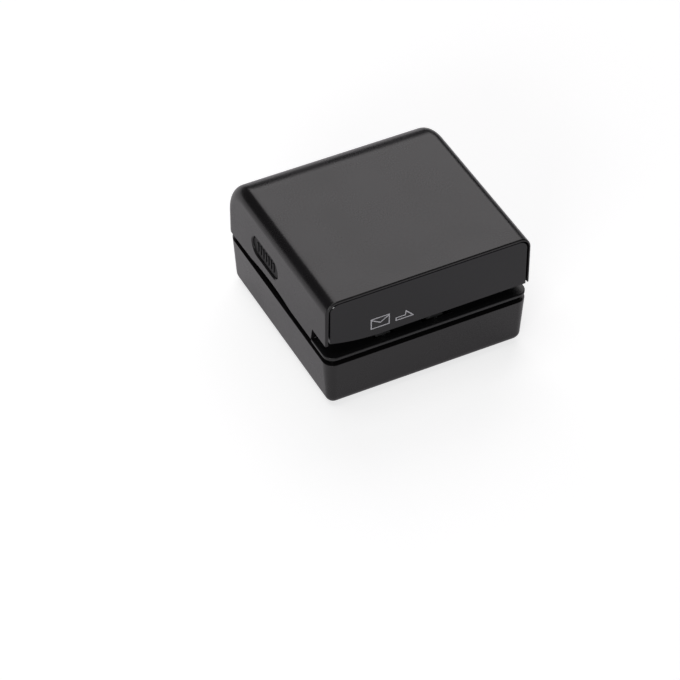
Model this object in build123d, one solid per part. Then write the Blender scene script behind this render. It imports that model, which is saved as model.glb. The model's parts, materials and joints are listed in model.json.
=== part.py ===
from build123d import *
import os
from math import acos, atan2, cos, degrees, hypot, pi, radians, sin, sqrt, tan

# Electric letter opener, in millimetres.
# +X is to the right along the front, +Y runs to the back, +Z is up.
# The origin is at the middle of the base's outline, on the surface that it stands on.

# ---- casing ----
HEIGHT = 62.0
COVER_WIDTH = 101.0
COVER_WALL = 2.0
COVER_TOP_RADIUS = 6.0
COVER_BACK_TOP_RADIUS = 20.0
COVER_FRONT_EDGE = 0.6
COVER_LOW_FRONT_Z = 31.1
COVER_LOW_BACK_Z = 29.7
SCOOP_RISE = 1.5
SCOOP_START = 34.4
SCOOP_END = 74.4
SCOOP_DEPTH = 0.8
SCOOP_RADIUS = 40.0
SCOOP_ROUND = 5.0
SLOT_LIFT_LEFT = 38.0
SLOT_LIFT_RIGHT = 35.7
SLOT_LIFT_END = 13.1
SLOT_LIFT_SLOPE = 1.4
BASE_SIDE_STEP = 0.4
BASE_DEPTH = 103.2
BASE_WALL = 2.0
BASE_FRONT_RADIUS = 5.0
BASE_BACK_RADIUS = 8.5
BASE_BOTTOM_RADIUS = 4.5
BASE_DRAFT = 3.7
FRONT_STEP = 1.1
BACK_STEP = 0.9
EDGE_ROUND = 0.35
FLOOR = 2.0
RIM_Z = 26.0
SKIRT_HEIGHT = 4.0
SKIRT_GAP = 0.4
SKIRT_WALL = 1.2
CASE_SCREW_INSET = 8.1
CASE_SCREW_BACK_INSET = 21.5
FOOT_STANDOFF = 1.0
FOOT_SIDE_INSET = 11.1
FOOT_END_INSET = 12.0
FOOT_R = 4.0
FOOT_POCKET = 0.6

# ---- deck and letter slot ----
DECK_TOP_Z = 30.4
DECK_PLATE = 1.6
DECK_BACK_GAP = 6.2
DECK_LOW_STEP = 0.8
DUST_RIM = 3.4
SLOT_HEIGHT = 4.2
SLOT_DEPTH = 14.9
LEAD_IN_LENGTH = 25.8
LEAD_IN_RISE = 3.7
CUTOUT_LEFT = 11.0
CUTOUT_RIGHT = 12.5
WINDOW_MARGIN_X = 1.0
WINDOW_MARGIN_Y = 1.4

# ---- front panel and the cover's rim around it ----
PANEL_THICK = 2.2
PANEL_SETBACK = 0.3
PANEL_LEFT_INSET = 2.5
PANEL_RIGHT_INSET = 1.4
PANEL_TOP_INSET = 1.7
PANEL_CORNER_RADIUS = 4.5
PANEL_EDGE = 0.35
PANEL_ARM_INSET = 7.5
PANEL_ARM_RISE = 13.6
PANEL_ARM_HALF = 3.0
PANEL_SCREW_REACH = 5.0
RIM_TOP = 1.2
RIM_LEFT_TOP = 1.7
RIM_LEFT_BOTTOM = 0.9
RIM_RIGHT = 0.9
RIM_DEPTH = 5.0
GUIDE_SHELF = 1.6
SIDE_CLEARANCE = 0.3

# ---- general clearances and fasteners ----
RUNNING = 0.05
LOOSE = 0.3
SEAT = 0.02
ROOT = 0.5
SCREW_R = 1.0
SCREW_HEAD_R = 2.1
SCREW_HEAD = 1.4
SCREW_SLOT_HALF = 0.3
SCREW_SLOT = 0.6
BOSS_R = 3.2

# ---- chassis ----
PLATE = 1.5
CHASSIS_GAP = 21.0
PLATE_ROOF_GAP = 3.0
PLATE_SIDE_GAP = 1.5
PLATE_CORNER = 3.0
TONGUE_HALF = 7.0
CHASSIS_FOOT_LEFT_X = -31.0
CHASSIS_FOOT_RIGHT_X = 36.0
CHASSIS_FOOT_HALF = 4.5
CHASSIS_FOOT_LENGTH = 7.0
CHASSIS_SCREW_INSET = 3.6
REAR_PLATE_MARGIN = 0.8
SPACER_R = 2.5
SPACER_DROP = 4.0
SPACER_INSET = 3.0
SPACER_THREAD = 5.0
SPACER_SPIGOT_R = 1.5

# ---- shafts, rollers and knives ----
SHAFT_R = 2.0
AXLE_R = 1.5
SHAFT_NOSE = 0.7
SHAFT_TAIL = 1.0
BUSH_R = 3.5
BUSH_FLANGE_R = 4.4
BUSH_FLANGE = 0.8
KNIFE_X = 6.0
FEED_PITCH = 26.0
ROLLER_R = 8.0
ROLLER_LENGTH = 6.8
ROLLER_SETBACK = 3.9
ROLLER_NIP = 0.2
TYRE_THICK = 2.0
GROOVE = 0.5
SLOT_INTRUSION = 2.2
IDLER_ROLLER_R = 4.2
KNIFE_R = 8.25
KNIFE_THICK = 0.5
KNIFE_SETBACK = 0.4
KNIFE_GAP = 0.1
KNIFE_OVERLAP = 0.4
KNIFE_NUT = 1.5
KNIFE_COLLAR_R = 3.4
ROCKER_REACH = 9.0
ROCKER_DROP = 3.0
ROCKER_ARM = 0.8
ROCKER_PIVOT_R = 1.7
LUG_THICK = 1.0
LUG_HALF = 1.8
ROCKER_TAIL = 4.0
ROCKER_SPRING_X = 3.1
ROCKER_SPRING_R = 1.3
ROCKER_SPRING_WIRE = 0.4
ROCKER_SPRING_TURNS = 2.5
ROCKER_TILT = 8.0
TAIL_HALF = 1.0

# ---- gears ----
TRAIN_MODULE = 0.8
FEED_TEETH = 20
IDLER_TEETH = 16
TRAIN_WIDTH = 4.0
DRIVE_MODULE = 0.6
DRIVE_TEETH = 36
DRIVE_WIDTH = 3.5
COMPOUND_SMALL_TEETH = 12
PINION_MODULE = 0.5
COMPOUND_LARGE_TEETH = 36
LARGE_WIDTH = 3.0
PINION_TEETH = 12
TRAIN_GAP = 2.5
DRIVE_GAP = 2.0
LARGE_GAP = 1.5
GEAR_HUB = 1.8
MESH_CLEARANCE = 0.05
PRESSURE_ANGLE = radians(20)
ADDENDUM = 0.8
DEDENDUM = 1.15
TOOTH_THINNING = 0.03
FLANK_STEPS = 3
WHEEL_LIFT = 3.3

# ---- motor ----
MOTOR_WIDTH = 20.0
MOTOR_HEIGHT = 15.0
MOTOR_LENGTH = 25.0
MOTOR_CAP = 4.0
MOTOR_SHAFT_R = 1.0
MOTOR_BOSS_R = 3.0
MOTOR_SCREW_REACH = 7.0
TERMINAL_OFFSET = 6.0
TERMINAL_HALF = 1.2
TERMINAL_LENGTH = 3.5
TERMINAL_THICK = 0.5
CAP_BOSS_R = 3.0
CAP_BOSS = 1.5

# ---- battery bay ----
CELL_R = 7.15
CELL_LENGTH = 50.5
CELL_NUB = 1.2
CELL_NUB_R = 2.7
CELL_PITCH = 14.5
CELL_COUNT = 4
CONTACT_ROOM = 1.25
CONTACT_THICK = 0.5
BAY_WALL = 1.5
BAY_BACK_INSET = 15.1
DOOR_THICK = 1.8
DOOR_PIN_R = 0.7
DOOR_PIN_REACH = 1.2
DOOR_GAP = 0.3

# ---- cover hinge and latch ----
HINGE_BACK_INSET = 3.4
HINGE_Z = 31.0
KNUCKLE_R = 3.0
HINGE_PIN_R = 1.25
HINGE_OFFSET_X = 30.0
KNUCKLE_FIXED = 7.0
KNUCKLE_MOVING = 4.0
BUTTON_LENGTH = 26.0
BUTTON_HEIGHT = 10.0
BUTTON_BACK = 60.45
BUTTON_Z = 42.1
BUTTON_RECESS = 0.8
BUTTON_GAP = 0.4
BUTTON_BEVEL = 0.6
BUTTON_TRAVEL = 2.0
RIB_PITCH = 2.6
RIB_HALF = 0.45
RIB_RISE = 0.35
FLANGE_GAP = 0.2
FLANGE_THICK = 1.4
SPRING_SOLID = 2.6
SPRING_WIRE = 0.5
SPRING_R = 2.4
SPRING_TURNS = 4
RETAINER_THICK = 1.4
RETAINER_HALF_LENGTH = 17.5
RETAINER_HALF_HEIGHT = 4.2
RETAINER_POST_R = 2.0
RETAINER_POST_OFFSET = 16.0
LATCH_SCREW_REACH = 3.5
LATCH_HEAD_R = 1.6
LATCH_HEAD = 0.9
STEM_R = 1.2
STEM_OFFSET = 9.0
HOOK_GAP = 0.2
HOOK_LENGTH = 7.0
HOOK_THICK = 1.2
HOOK_LIP = 1.4
CATCH_RISE = 3.0
CATCH_LENGTH = 8.0
CATCH_POST = 1.0
CATCH_LIP = 0.7
CATCH_LIP_THICK = 0.9

# ---- trip switch and control board ----
LEVER_FOOT_GAP = 6.0
LEVER_THICK = 1.6
LEVER_PIVOT_SETBACK = 3.5
LEVER_PIVOT_RISE = 10.6
LEVER_PIN_R = 0.8
LEVER_REACH = 2.5
LEVER_SLOT_HALF = 1.7
LEVER_SLOT = 5.6
SWITCH_WIDTH = 5.8
SWITCH_DEPTH = 7.0
SWITCH_HEIGHT = 12.0
BOARD_LEFT_X = -33.0
BOARD_RIGHT_X = -9.0
BOARD_GAP = 2.0
BOARD_DEPTH = 32.0
BOARD_THICK = 1.6
BOARD_POST = 2.6
BOARD_POST_R = 2.2
BOARD_INSET = 3.0
BOARD_SCREW_HEAD_R = 1.7
BOARD_SCREW_HEAD = 1.1
BOARD_SCREW_REACH = 4.0
CHIP_SIZE = (5.0, 7.0, 1.6)
CHIP_PLACE = (13.0, 8.0)
RELAY_SIZE = (10.0, 7.5, 8.0)
RELAY_PLACE = (4.5, 18.0)
CAPACITOR_R = 3.2
CAPACITOR_HEIGHT = 9.0
CAPACITOR_PLACE = (8.0, 10.5)
CONNECTOR_SIZE = (5.0, 7.0, 5.0)
CONNECTOR_PLACE = (16.0, 19.0)
CONNECTOR_WALL = 0.7
CONNECTOR_FLOOR = 1.5

# ---- places worked out from the sizes: casing, deck and slot ----
COVER_FRONT_Y = -BASE_DEPTH / 2 + FRONT_STEP
COVER_BACK_Y = BASE_DEPTH / 2 - BACK_STEP
COVER_SIDE_X = COVER_WIDTH / 2
COVER_ROOF_Z = HEIGHT - COVER_WALL
BASE_WIDTH = COVER_WIDTH - 2 * BASE_SIDE_STEP
HINGE_Y = COVER_BACK_Y - HINGE_BACK_INSET
FLOOR_TOP_Z = FOOT_STANDOFF + FLOOR
SKIRT_Z = RIM_Z - SKIRT_HEIGHT
SKIRT_INSET = BASE_WALL + SKIRT_GAP
FOOT_X = BASE_WIDTH / 2 - FOOT_SIDE_INSET
FOOT_Y = BASE_DEPTH / 2 - FOOT_END_INSET
FOOT_SPOTS = [(sx * FOOT_X, sy * FOOT_Y) for sx in (-1, 1) for sy in (-1, 1)]
DECK_UNDER_Z = DECK_TOP_Z - DECK_PLATE
DECK_LOW_Z = RIM_Z - DECK_LOW_STEP
DECK_BACK_Y = HINGE_Y - DECK_BACK_GAP
GUIDE_Z = DECK_TOP_Z + SLOT_HEIGHT
FENCE_Y = COVER_FRONT_Y + SLOT_DEPTH
PANEL_FRONT_Y = COVER_FRONT_Y + PANEL_SETBACK
PANEL_BACK_Y = PANEL_FRONT_Y + PANEL_THICK
PANEL_LEFT_X = -COVER_SIDE_X + PANEL_LEFT_INSET
PANEL_RIGHT_X = COVER_SIDE_X - PANEL_RIGHT_INSET
PANEL_ARM_SPOTS = (-COVER_SIDE_X + PANEL_ARM_INSET, COVER_SIDE_X - PANEL_ARM_INSET)
PANEL_ARM_Z = GUIDE_Z + PANEL_ARM_RISE

# ---- places: chassis, shafts and lower rollers ----
FRONT_PLATE_BACK_Y = FENCE_Y + PLATE
REAR_PLATE_Y = FRONT_PLATE_BACK_Y + CHASSIS_GAP
REAR_PLATE_BACK_Y = REAR_PLATE_Y + PLATE
PLATE_TOP_Z = COVER_ROOF_Z - PLATE_ROOF_GAP
CHASSIS_SCREW_SPOTS = [(x, y) for x in (CHASSIS_FOOT_LEFT_X, CHASSIS_FOOT_RIGHT_X)
                       for y in (FRONT_PLATE_BACK_Y + CHASSIS_SCREW_INSET,
                                 REAR_PLATE_Y - CHASSIS_SCREW_INSET)]
CASE_SCREW_X = BASE_WIDTH / 2 - CASE_SCREW_INSET
CASE_SCREW_ROWS = (FRONT_PLATE_BACK_Y + CHASSIS_GAP / 2, BASE_DEPTH / 2 - CASE_SCREW_BACK_INSET)
CASE_SCREW_SPOTS = [(side * CASE_SCREW_X, y) for side in (-1, 1) for y in CASE_SCREW_ROWS]
FEED_X = KNIFE_X - FEED_PITCH
SHAFT_Z = GUIDE_Z - SLOT_INTRUSION + ROLLER_R
LOWER_SHAFT_Z = SHAFT_Z - 2 * KNIFE_R + KNIFE_OVERLAP
SHAFT_SPOTS = [(FEED_X, SHAFT_Z), (KNIFE_X, SHAFT_Z), (KNIFE_X, LOWER_SHAFT_Z)]
SPACER_SPOTS = [(CHASSIS_FOOT_LEFT_X, SHAFT_Z - SPACER_DROP), (CHASSIS_FOOT_LEFT_X, PLATE_TOP_Z - SPACER_R),
                (CHASSIS_FOOT_RIGHT_X - SPACER_INSET, PLATE_TOP_Z - SPACER_R)]
TONGUE_LOW_Z = LOWER_SHAFT_Z - BUSH_FLANGE_R
ROLLER_BACK_Y = FENCE_Y - ROLLER_SETBACK
ROLLER_FRONT_Y = ROLLER_BACK_Y - ROLLER_LENGTH
SHAFT_FRONT_Y = ROLLER_FRONT_Y - SHAFT_NOSE
SHAFT_BACK_Y = REAR_PLATE_BACK_Y + SHAFT_TAIL
LOWER_KNIFE_BACK_Y = FENCE_Y - KNIFE_SETBACK
LOWER_KNIFE_FRONT_Y = LOWER_KNIFE_BACK_Y - KNIFE_THICK
UPPER_KNIFE_BACK_Y = LOWER_KNIFE_FRONT_Y - KNIFE_GAP
UPPER_KNIFE_FRONT_Y = UPPER_KNIFE_BACK_Y - KNIFE_THICK
KNIFE_NUT_FRONT_Y = LOWER_KNIFE_FRONT_Y - KNIFE_NUT
TRAIN_Y = FRONT_PLATE_BACK_Y + TRAIN_GAP
DRIVE_Y = TRAIN_Y + TRAIN_WIDTH + DRIVE_GAP
LARGE_Y = DRIVE_Y + DRIVE_WIDTH + LARGE_GAP
IDLER_ROLLER_Z = SHAFT_Z - ROLLER_R - ROLLER_NIP - IDLER_ROLLER_R
ROCKER_Z = IDLER_ROLLER_Z - ROCKER_DROP
WINDOW_HALF = IDLER_ROLLER_R + WINDOW_MARGIN_X
WINDOW_FRONT_Y = ROLLER_FRONT_Y - WINDOW_MARGIN_Y
WINDOW_BACK_Y = ROLLER_BACK_Y + WINDOW_MARGIN_Y
MOTOR_END_Y = REAR_PLATE_BACK_Y + MOTOR_LENGTH

# ---- places: battery bay ----
BAY_BACK_Y = BASE_DEPTH / 2 - BAY_BACK_INSET
BAY_FRONT_Y = BAY_BACK_Y - CELL_LENGTH - 2 * CONTACT_ROOM
BAY_HALF = CELL_COUNT * CELL_PITCH / 2 + DOOR_GAP
CELL_Z = FOOT_STANDOFF + DOOR_THICK + DOOR_GAP + CELL_R
BAY_TOP_Z = CELL_Z + CELL_R + 0.5
DOOR_AXIS_Y = BAY_BACK_Y - DOOR_GAP - DOOR_THICK / 2
DOOR_AXIS_Z = FOOT_STANDOFF + DOOR_THICK / 2
DOOR_HALF = BAY_HALF - DOOR_GAP

# ---- places: hinge, latch, switch and board ----
BUTTON_Y = COVER_FRONT_Y + BUTTON_BACK
BUTTON_FACE_X = -COVER_SIDE_X + BUTTON_RECESS
FLANGE_X = -COVER_SIDE_X + COVER_WALL + FLANGE_GAP
SPRING_X = FLANGE_X + FLANGE_THICK
SPRING_ROOM = SPRING_SOLID + BUTTON_TRAVEL
RETAINER_X = SPRING_X + SPRING_ROOM
RETAINER_POSTS = (BUTTON_Y - RETAINER_POST_OFFSET, BUTTON_Y + RETAINER_POST_OFFSET)
STEM_SPOTS = (BUTTON_Y - STEM_OFFSET, BUTTON_Y + STEM_OFFSET)
CATCH_TOP_Z = DECK_TOP_Z + CATCH_RISE
CATCH_OUTER_X = -BASE_WIDTH / 2 + SKIRT_INSET + 0.4
HOOK_LIP_X = CATCH_OUTER_X + CATCH_POST + CATCH_LIP + HOOK_GAP
HOOK_BRIDGE_Z = BUTTON_Z - BUTTON_HEIGHT / 2 - 1.0
LEVER_X = CHASSIS_FOOT_LEFT_X - CHASSIS_FOOT_HALF - LEVER_FOOT_GAP
LEVER_PIVOT_Y = FRONT_PLATE_BACK_Y + LEVER_PIVOT_SETBACK
LEVER_PIVOT_Z = DECK_TOP_Z + LEVER_PIVOT_RISE
LEVER_SLOT_TOP_Z = DECK_TOP_Z + LEVER_SLOT
SWITCH_LEFT_X = LEVER_X + LEVER_THICK / 2 + 0.2
BOARD_FRONT_Y = REAR_PLATE_BACK_Y + BOARD_GAP
BOARD_BACK_Y = BOARD_FRONT_Y + BOARD_DEPTH
BOARD_TOP_Z = DECK_TOP_Z + BOARD_POST + BOARD_THICK
BOARD_SPOTS = [(x, y) for x in (BOARD_LEFT_X + BOARD_INSET, BOARD_RIGHT_X - BOARD_INSET)
               for y in (BOARD_FRONT_Y + BOARD_INSET, BOARD_BACK_Y - BOARD_INSET)]


# ---- shape helpers ----
def block(x0, x1, y0, y1, z0, z1):
    """Box between two opposite corners."""
    size = Box(x1 - x0, y1 - y0, z1 - z0)
    return Pos((x0 + x1) / 2, (y0 + y1) / 2, (z0 + z1) / 2) * size


def rod_x(y, z, radius, x0, x1):
    """Cylinder along X."""
    return Pos((x0 + x1) / 2, y, z) * Rot(0, 90, 0) * Cylinder(radius, x1 - x0)


def rod_y(x, z, radius, y0, y1):
    """Cylinder along Y."""
    return Pos(x, (y0 + y1) / 2, z) * Rot(90, 0, 0) * Cylinder(radius, y1 - y0)


def rod_z(x, y, radius, z0, z1):
    """Cylinder along Z."""
    return Pos(x, y, (z0 + z1) / 2) * Cylinder(radius, z1 - z0)


def prism_x(profile, x0, x1):
    """A (y, z) profile drawn out along X."""
    return extrude(Plane((x0, 0, 0), x_dir=(0, 1, 0), z_dir=(1, 0, 0)) * profile, amount=x1 - x0)


def prism_y(profile, y0, y1):
    """An (x, z) profile drawn out along Y."""
    return extrude(Plane((0, y1, 0), x_dir=(1, 0, 0), z_dir=(0, -1, 0)) * profile, amount=y1 - y0)


def outline(*points):
    """Flat face inside a closed line of corners."""
    return make_face(Polyline(*points, close=True))


def cut_rod_y(x, z, radius, y0, y1):
    """Cutting cylinder along Y that runs a little past both ends."""
    return rod_y(x, z, radius, y0 - 1, y1 + 1)


# ---- gears ----
def gear_outline(teeth, module, phase):
    """Involute spur gear outline with a tooth centred on the angle phase, in degrees."""
    pitch_r = teeth * module / 2
    base_r = pitch_r * cos(PRESSURE_ANGLE)
    tip_r = pitch_r + ADDENDUM * module
    root_r = pitch_r - DEDENDUM * module
    flank_r = max(base_r, root_r)
    half_tooth = (pi / 2 - TOOTH_THINNING / module) / teeth
    involute_at_pitch = tan(PRESSURE_ANGLE) - PRESSURE_ANGLE
    flank = []
    for step in range(FLANK_STEPS + 1):
        radius = flank_r + (tip_r - flank_r) * step / FLANK_STEPS
        angle = acos(min(1.0, base_r / radius))
        flank.append((radius, half_tooth + involute_at_pitch - (tan(angle) - angle)))
    if root_r < flank_r:
        flank.insert(0, (root_r, flank[0][1]))
    points = []
    for tooth in range(teeth):
        centre = radians(phase) + 2 * pi * tooth / teeth
        points += [(r * cos(centre - turn), r * sin(centre - turn)) for r, turn in flank]
        points += [(r * cos(centre + turn), r * sin(centre + turn)) for r, turn in reversed(flank)]
    return outline(*points)


def gear_body(teeth, module, phase, x, z, y0, y1):
    """Toothed disc on the axis (x, z) between y0 and y1."""
    return prism_y(Pos(x, z) * gear_outline(teeth, module, phase), y0, y1)


def mesh_phase(phase, teeth, next_teeth, direction):
    """Phase of the next gear whose gaps take this gear's teeth, the next one lying at direction."""
    turn = (direction - phase) * teeth / 360
    return direction + 180 - (0.5 - turn) * 360 / next_teeth


def centre_distance(teeth, next_teeth, module):
    return module * (teeth + next_teeth) / 2 + MESH_CLEARANCE


def direction_to(x0, z0, x1, z1):
    return degrees(atan2(z1 - z0, x1 - x0))


TRAIN_DISTANCE = centre_distance(FEED_TEETH, IDLER_TEETH, TRAIN_MODULE)
IDLER_X = (FEED_X + KNIFE_X) / 2
IDLER_Z = SHAFT_Z + sqrt(TRAIN_DISTANCE ** 2 - (FEED_PITCH / 2) ** 2)
COMPOUND_DISTANCE = centre_distance(DRIVE_TEETH, COMPOUND_SMALL_TEETH, DRIVE_MODULE)
COMPOUND_Z = (DECK_TOP_Z + PLATE_TOP_Z) / 2 + WHEEL_LIFT
COMPOUND_X = KNIFE_X + sqrt(COMPOUND_DISTANCE ** 2 - (COMPOUND_Z - SHAFT_Z) ** 2)
COMPOUND_LEAN = direction_to(KNIFE_X, SHAFT_Z, COMPOUND_X, COMPOUND_Z)
PINION_DISTANCE = centre_distance(COMPOUND_LARGE_TEETH, PINION_TEETH, PINION_MODULE)
MOTOR_Z = (DECK_TOP_Z + PLATE_TOP_Z - SPACER_R - SCREW_HEAD_R) / 2
MOTOR_X = COMPOUND_X + sqrt(PINION_DISTANCE ** 2 - (COMPOUND_Z - MOTOR_Z) ** 2)
PINION_LEAN = direction_to(COMPOUND_X, COMPOUND_Z, MOTOR_X, MOTOR_Z)

KNIFE_PHASE = 0.0
DRIVE_PHASE = 0.0
LOWER_PHASE = mesh_phase(KNIFE_PHASE, FEED_TEETH, FEED_TEETH, -90)
TO_IDLER = direction_to(KNIFE_X, SHAFT_Z, IDLER_X, IDLER_Z)
IDLER_PHASE = mesh_phase(KNIFE_PHASE, FEED_TEETH, IDLER_TEETH, TO_IDLER)
TO_FEED = direction_to(IDLER_X, IDLER_Z, FEED_X, SHAFT_Z)
FEED_PHASE = mesh_phase(IDLER_PHASE, IDLER_TEETH, FEED_TEETH, TO_FEED)
COMPOUND_SMALL_PHASE = mesh_phase(DRIVE_PHASE, DRIVE_TEETH, COMPOUND_SMALL_TEETH, COMPOUND_LEAN)
COMPOUND_LARGE_PHASE = 0.0
PINION_PHASE = mesh_phase(COMPOUND_LARGE_PHASE, COMPOUND_LARGE_TEETH, PINION_TEETH, PINION_LEAN)
AXLE_SPOTS = [(IDLER_X, IDLER_Z), (COMPOUND_X, COMPOUND_Z)]
MOTOR_SCREW_SPOTS = [(MOTOR_X - MOTOR_SCREW_REACH, MOTOR_Z), (MOTOR_X + MOTOR_SCREW_REACH, MOTOR_Z)]


# ---- casing ----
def base_plan(inset):
    """Outline of the base at its rim, drawn in by inset all round."""
    plan = Rectangle(BASE_WIDTH - 2 * inset, BASE_DEPTH - 2 * inset)
    corners = plan.vertices().group_by(Axis.Y)
    plan = fillet(corners[0], BASE_FRONT_RADIUS - inset)
    return fillet(plan.vertices().group_by(Axis.Y)[-1], BASE_BACK_RADIUS - inset)


def base_tub():
    """Lower shell: drafted walls, a floor, the battery bay and the pillars for the case screws."""
    depth = RIM_Z - FOOT_STANDOFF
    shell = extrude(Pos(0, 0, RIM_Z) * base_plan(0), amount=-depth, taper=BASE_DRAFT)
    shell = fillet(shell.faces().sort_by(Axis.Z)[0].edges(), BASE_BOTTOM_RADIUS)
    hollow = extrude(Pos(0, 0, RIM_Z) * base_plan(BASE_WALL), amount=FLOOR - depth, taper=BASE_DRAFT)
    shell -= hollow
    for x, y in CASE_SCREW_SPOTS:
        shell += rod_z(x, y, BOSS_R, FLOOR_TOP_Z, SKIRT_Z)
    bay_outer = block(-BAY_HALF - BAY_WALL, BAY_HALF + BAY_WALL, BAY_FRONT_Y - BAY_WALL,
                      BAY_BACK_Y + BAY_WALL, FOOT_STANDOFF, BAY_TOP_Z + BAY_WALL)
    shell += bay_outer
    shell -= block(-BAY_HALF, BAY_HALF, BAY_FRONT_Y, BAY_BACK_Y, 0, BAY_TOP_Z)
    for side in (-1, 1):
        shell -= rod_x(DOOR_AXIS_Y, DOOR_AXIS_Z, DOOR_PIN_R + RUNNING,
                       side * BAY_HALF - BAY_WALL, side * BAY_HALF + BAY_WALL)
    for x, y in CASE_SCREW_SPOTS:
        shell -= rod_z(x, y, SCREW_R + RUNNING, 0, SKIRT_Z + 1)
        shell -= rod_z(x, y, SCREW_HEAD_R + LOOSE, 0, FOOT_STANDOFF + FOOT_POCKET + SCREW_HEAD)
    for x, y in FOOT_SPOTS:
        shell -= rod_z(x, y, FOOT_R + SEAT, 0, FOOT_STANDOFF + FOOT_POCKET)
    return shell


def idler_window(x, half, back):
    """Opening in the deck for a lower roller."""
    return block(x - half, x + half, WINDOW_FRONT_Y, back, DECK_UNDER_Z - 1, DECK_TOP_Z + 1)


def base_deck():
    """Lid of the base: recessed skirt, front lip, letter table and everything it carries."""
    deck = extrude(Pos(0, 0, SKIRT_Z) * base_plan(SKIRT_INSET), amount=DECK_TOP_Z - SKIRT_Z)
    deck -= block(-BASE_WIDTH, BASE_WIDTH, DECK_BACK_Y, BASE_DEPTH, DECK_LOW_Z, HEIGHT)
    inside = extrude(Pos(0, 0, SKIRT_Z) * base_plan(SKIRT_INSET + SKIRT_WALL),
                     amount=DECK_UNDER_Z - SKIRT_Z)
    high_part = block(-BASE_WIDTH, BASE_WIDTH, -BASE_DEPTH, DECK_BACK_Y - SKIRT_WALL, 0, HEIGHT)
    low_part = block(-BASE_WIDTH, BASE_WIDTH, -BASE_DEPTH, BASE_DEPTH, 0, DECK_LOW_Z - DECK_PLATE)
    deck -= inside & (high_part + low_part)
    lip = extrude(Pos(0, 0, DECK_UNDER_Z) * base_plan(0), amount=DECK_PLATE)
    lip = fillet(lip.edges().filter_by(Plane.XY), EDGE_ROUND)
    deck += lip & block(-BASE_WIDTH, BASE_WIDTH, -BASE_DEPTH, FENCE_Y, 0, HEIGHT)
    deck += dust_rim()
    for x, y in CASE_SCREW_SPOTS:
        deck += rod_z(x, y, BOSS_R, SKIRT_Z, DECK_UNDER_Z)
    for x, y in CHASSIS_SCREW_SPOTS:
        deck += rod_z(x, y, BOSS_R - 0.4, SKIRT_Z + 2, DECK_UNDER_Z)
    for x, y in BOARD_SPOTS:
        deck += rod_z(x, y, BOARD_POST_R, DECK_TOP_Z, DECK_TOP_Z + BOARD_POST)
    deck += hinge_lugs()
    deck += rocker_lugs()
    deck -= block(KNIFE_X - CUTOUT_LEFT, KNIFE_X + CUTOUT_RIGHT, FENCE_Y - SEAT,
                  REAR_PLATE_BACK_Y + SEAT, DECK_UNDER_Z - 1, DECK_TOP_Z + 1)
    deck -= idler_window(FEED_X, WINDOW_HALF, WINDOW_BACK_Y)
    deck -= idler_window(KNIFE_X, KNIFE_R - 0.6, FENCE_Y)
    for x, y in CASE_SCREW_SPOTS:
        deck -= rod_z(x, y, SCREW_R, SKIRT_Z - 1, DECK_UNDER_Z - 1)
    for x, y in CHASSIS_SCREW_SPOTS:
        deck -= rod_z(x, y, SCREW_R, SKIRT_Z + 3, DECK_TOP_Z + 1)
    for x, y in BOARD_SPOTS:
        deck -= rod_z(x, y, SCREW_R, DECK_UNDER_Z + 0.4, DECK_TOP_Z + BOARD_POST + 1)
    return deck


def dust_rim():
    """Low wall round the deck behind the trip switch, just inside the cover's walls, open at the catch."""
    ring = extrude(Pos(0, 0, DECK_TOP_Z) * base_plan(SKIRT_INSET), amount=DUST_RIM)
    hollow = extrude(Pos(0, 0, DECK_TOP_Z) * base_plan(SKIRT_INSET + SKIRT_WALL), amount=DUST_RIM)
    ring -= hollow & block(-BASE_WIDTH, BASE_WIDTH, -BASE_DEPTH, DECK_BACK_Y - SKIRT_WALL, 0, HEIGHT)
    gap = CATCH_LENGTH / 2 + SEAT
    ring -= block(-BASE_WIDTH, 0, BUTTON_Y - gap, BUTTON_Y + gap, 0, HEIGHT)
    front = FRONT_PLATE_BACK_Y + SWITCH_DEPTH + LOOSE
    return ring & block(-BASE_WIDTH, BASE_WIDTH, front, DECK_BACK_Y, 0, HEIGHT)


def hinge_lugs():
    """Two fixed knuckles on posts behind the deck."""
    lugs = []
    for side in (-1, 1):
        x0 = side * HINGE_OFFSET_X - KNUCKLE_FIXED / 2
        x1 = x0 + KNUCKLE_FIXED
        lug = block(x0, x1, HINGE_Y - LUG_HALF, HINGE_Y + LUG_HALF, SKIRT_Z, HINGE_Z)
        lug += rod_x(HINGE_Y, HINGE_Z, KNUCKLE_R, x0, x1)
        lugs.append(lug - rod_x(HINGE_Y, HINGE_Z, HINGE_PIN_R + SEAT, x0 - 1, x1 + 1))
    return lugs


def rocker_lugs():
    """Hangers below the deck that carry the pivots of the lower rollers."""
    lugs = []
    for x in (FEED_X + ROCKER_REACH, KNIFE_X + ROCKER_REACH):
        for y in (ROLLER_FRONT_Y + 0.2, ROLLER_BACK_Y - 0.2 - LUG_THICK):
            lug = block(x - LUG_HALF, x + LUG_HALF, y, y + LUG_THICK, ROCKER_Z, DECK_UNDER_Z)
            lug += rod_y(x, ROCKER_Z, LUG_HALF, y, y + LUG_THICK)
            lugs.append(lug - cut_rod_y(x, ROCKER_Z, SCREW_R + SEAT, y, y + LUG_THICK))
    return lugs


def latch_catch():
    """Small ledged post on the deck that the latch reaches under."""
    y0 = BUTTON_Y - CATCH_LENGTH / 2
    y1 = BUTTON_Y + CATCH_LENGTH / 2
    x0 = CATCH_OUTER_X
    post = block(x0, x0 + CATCH_POST, y0, y1, DECK_TOP_Z, CATCH_TOP_Z)
    lip_z = CATCH_TOP_Z - CATCH_LIP_THICK
    post += block(x0, x0 + CATCH_POST + CATCH_LIP, y0, y1, lip_z, CATCH_TOP_Z)
    return post


def rubber_feet():
    return [rod_z(x, y, FOOT_R, 0, FOOT_STANDOFF + FOOT_POCKET) for x, y in FOOT_SPOTS]


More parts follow.
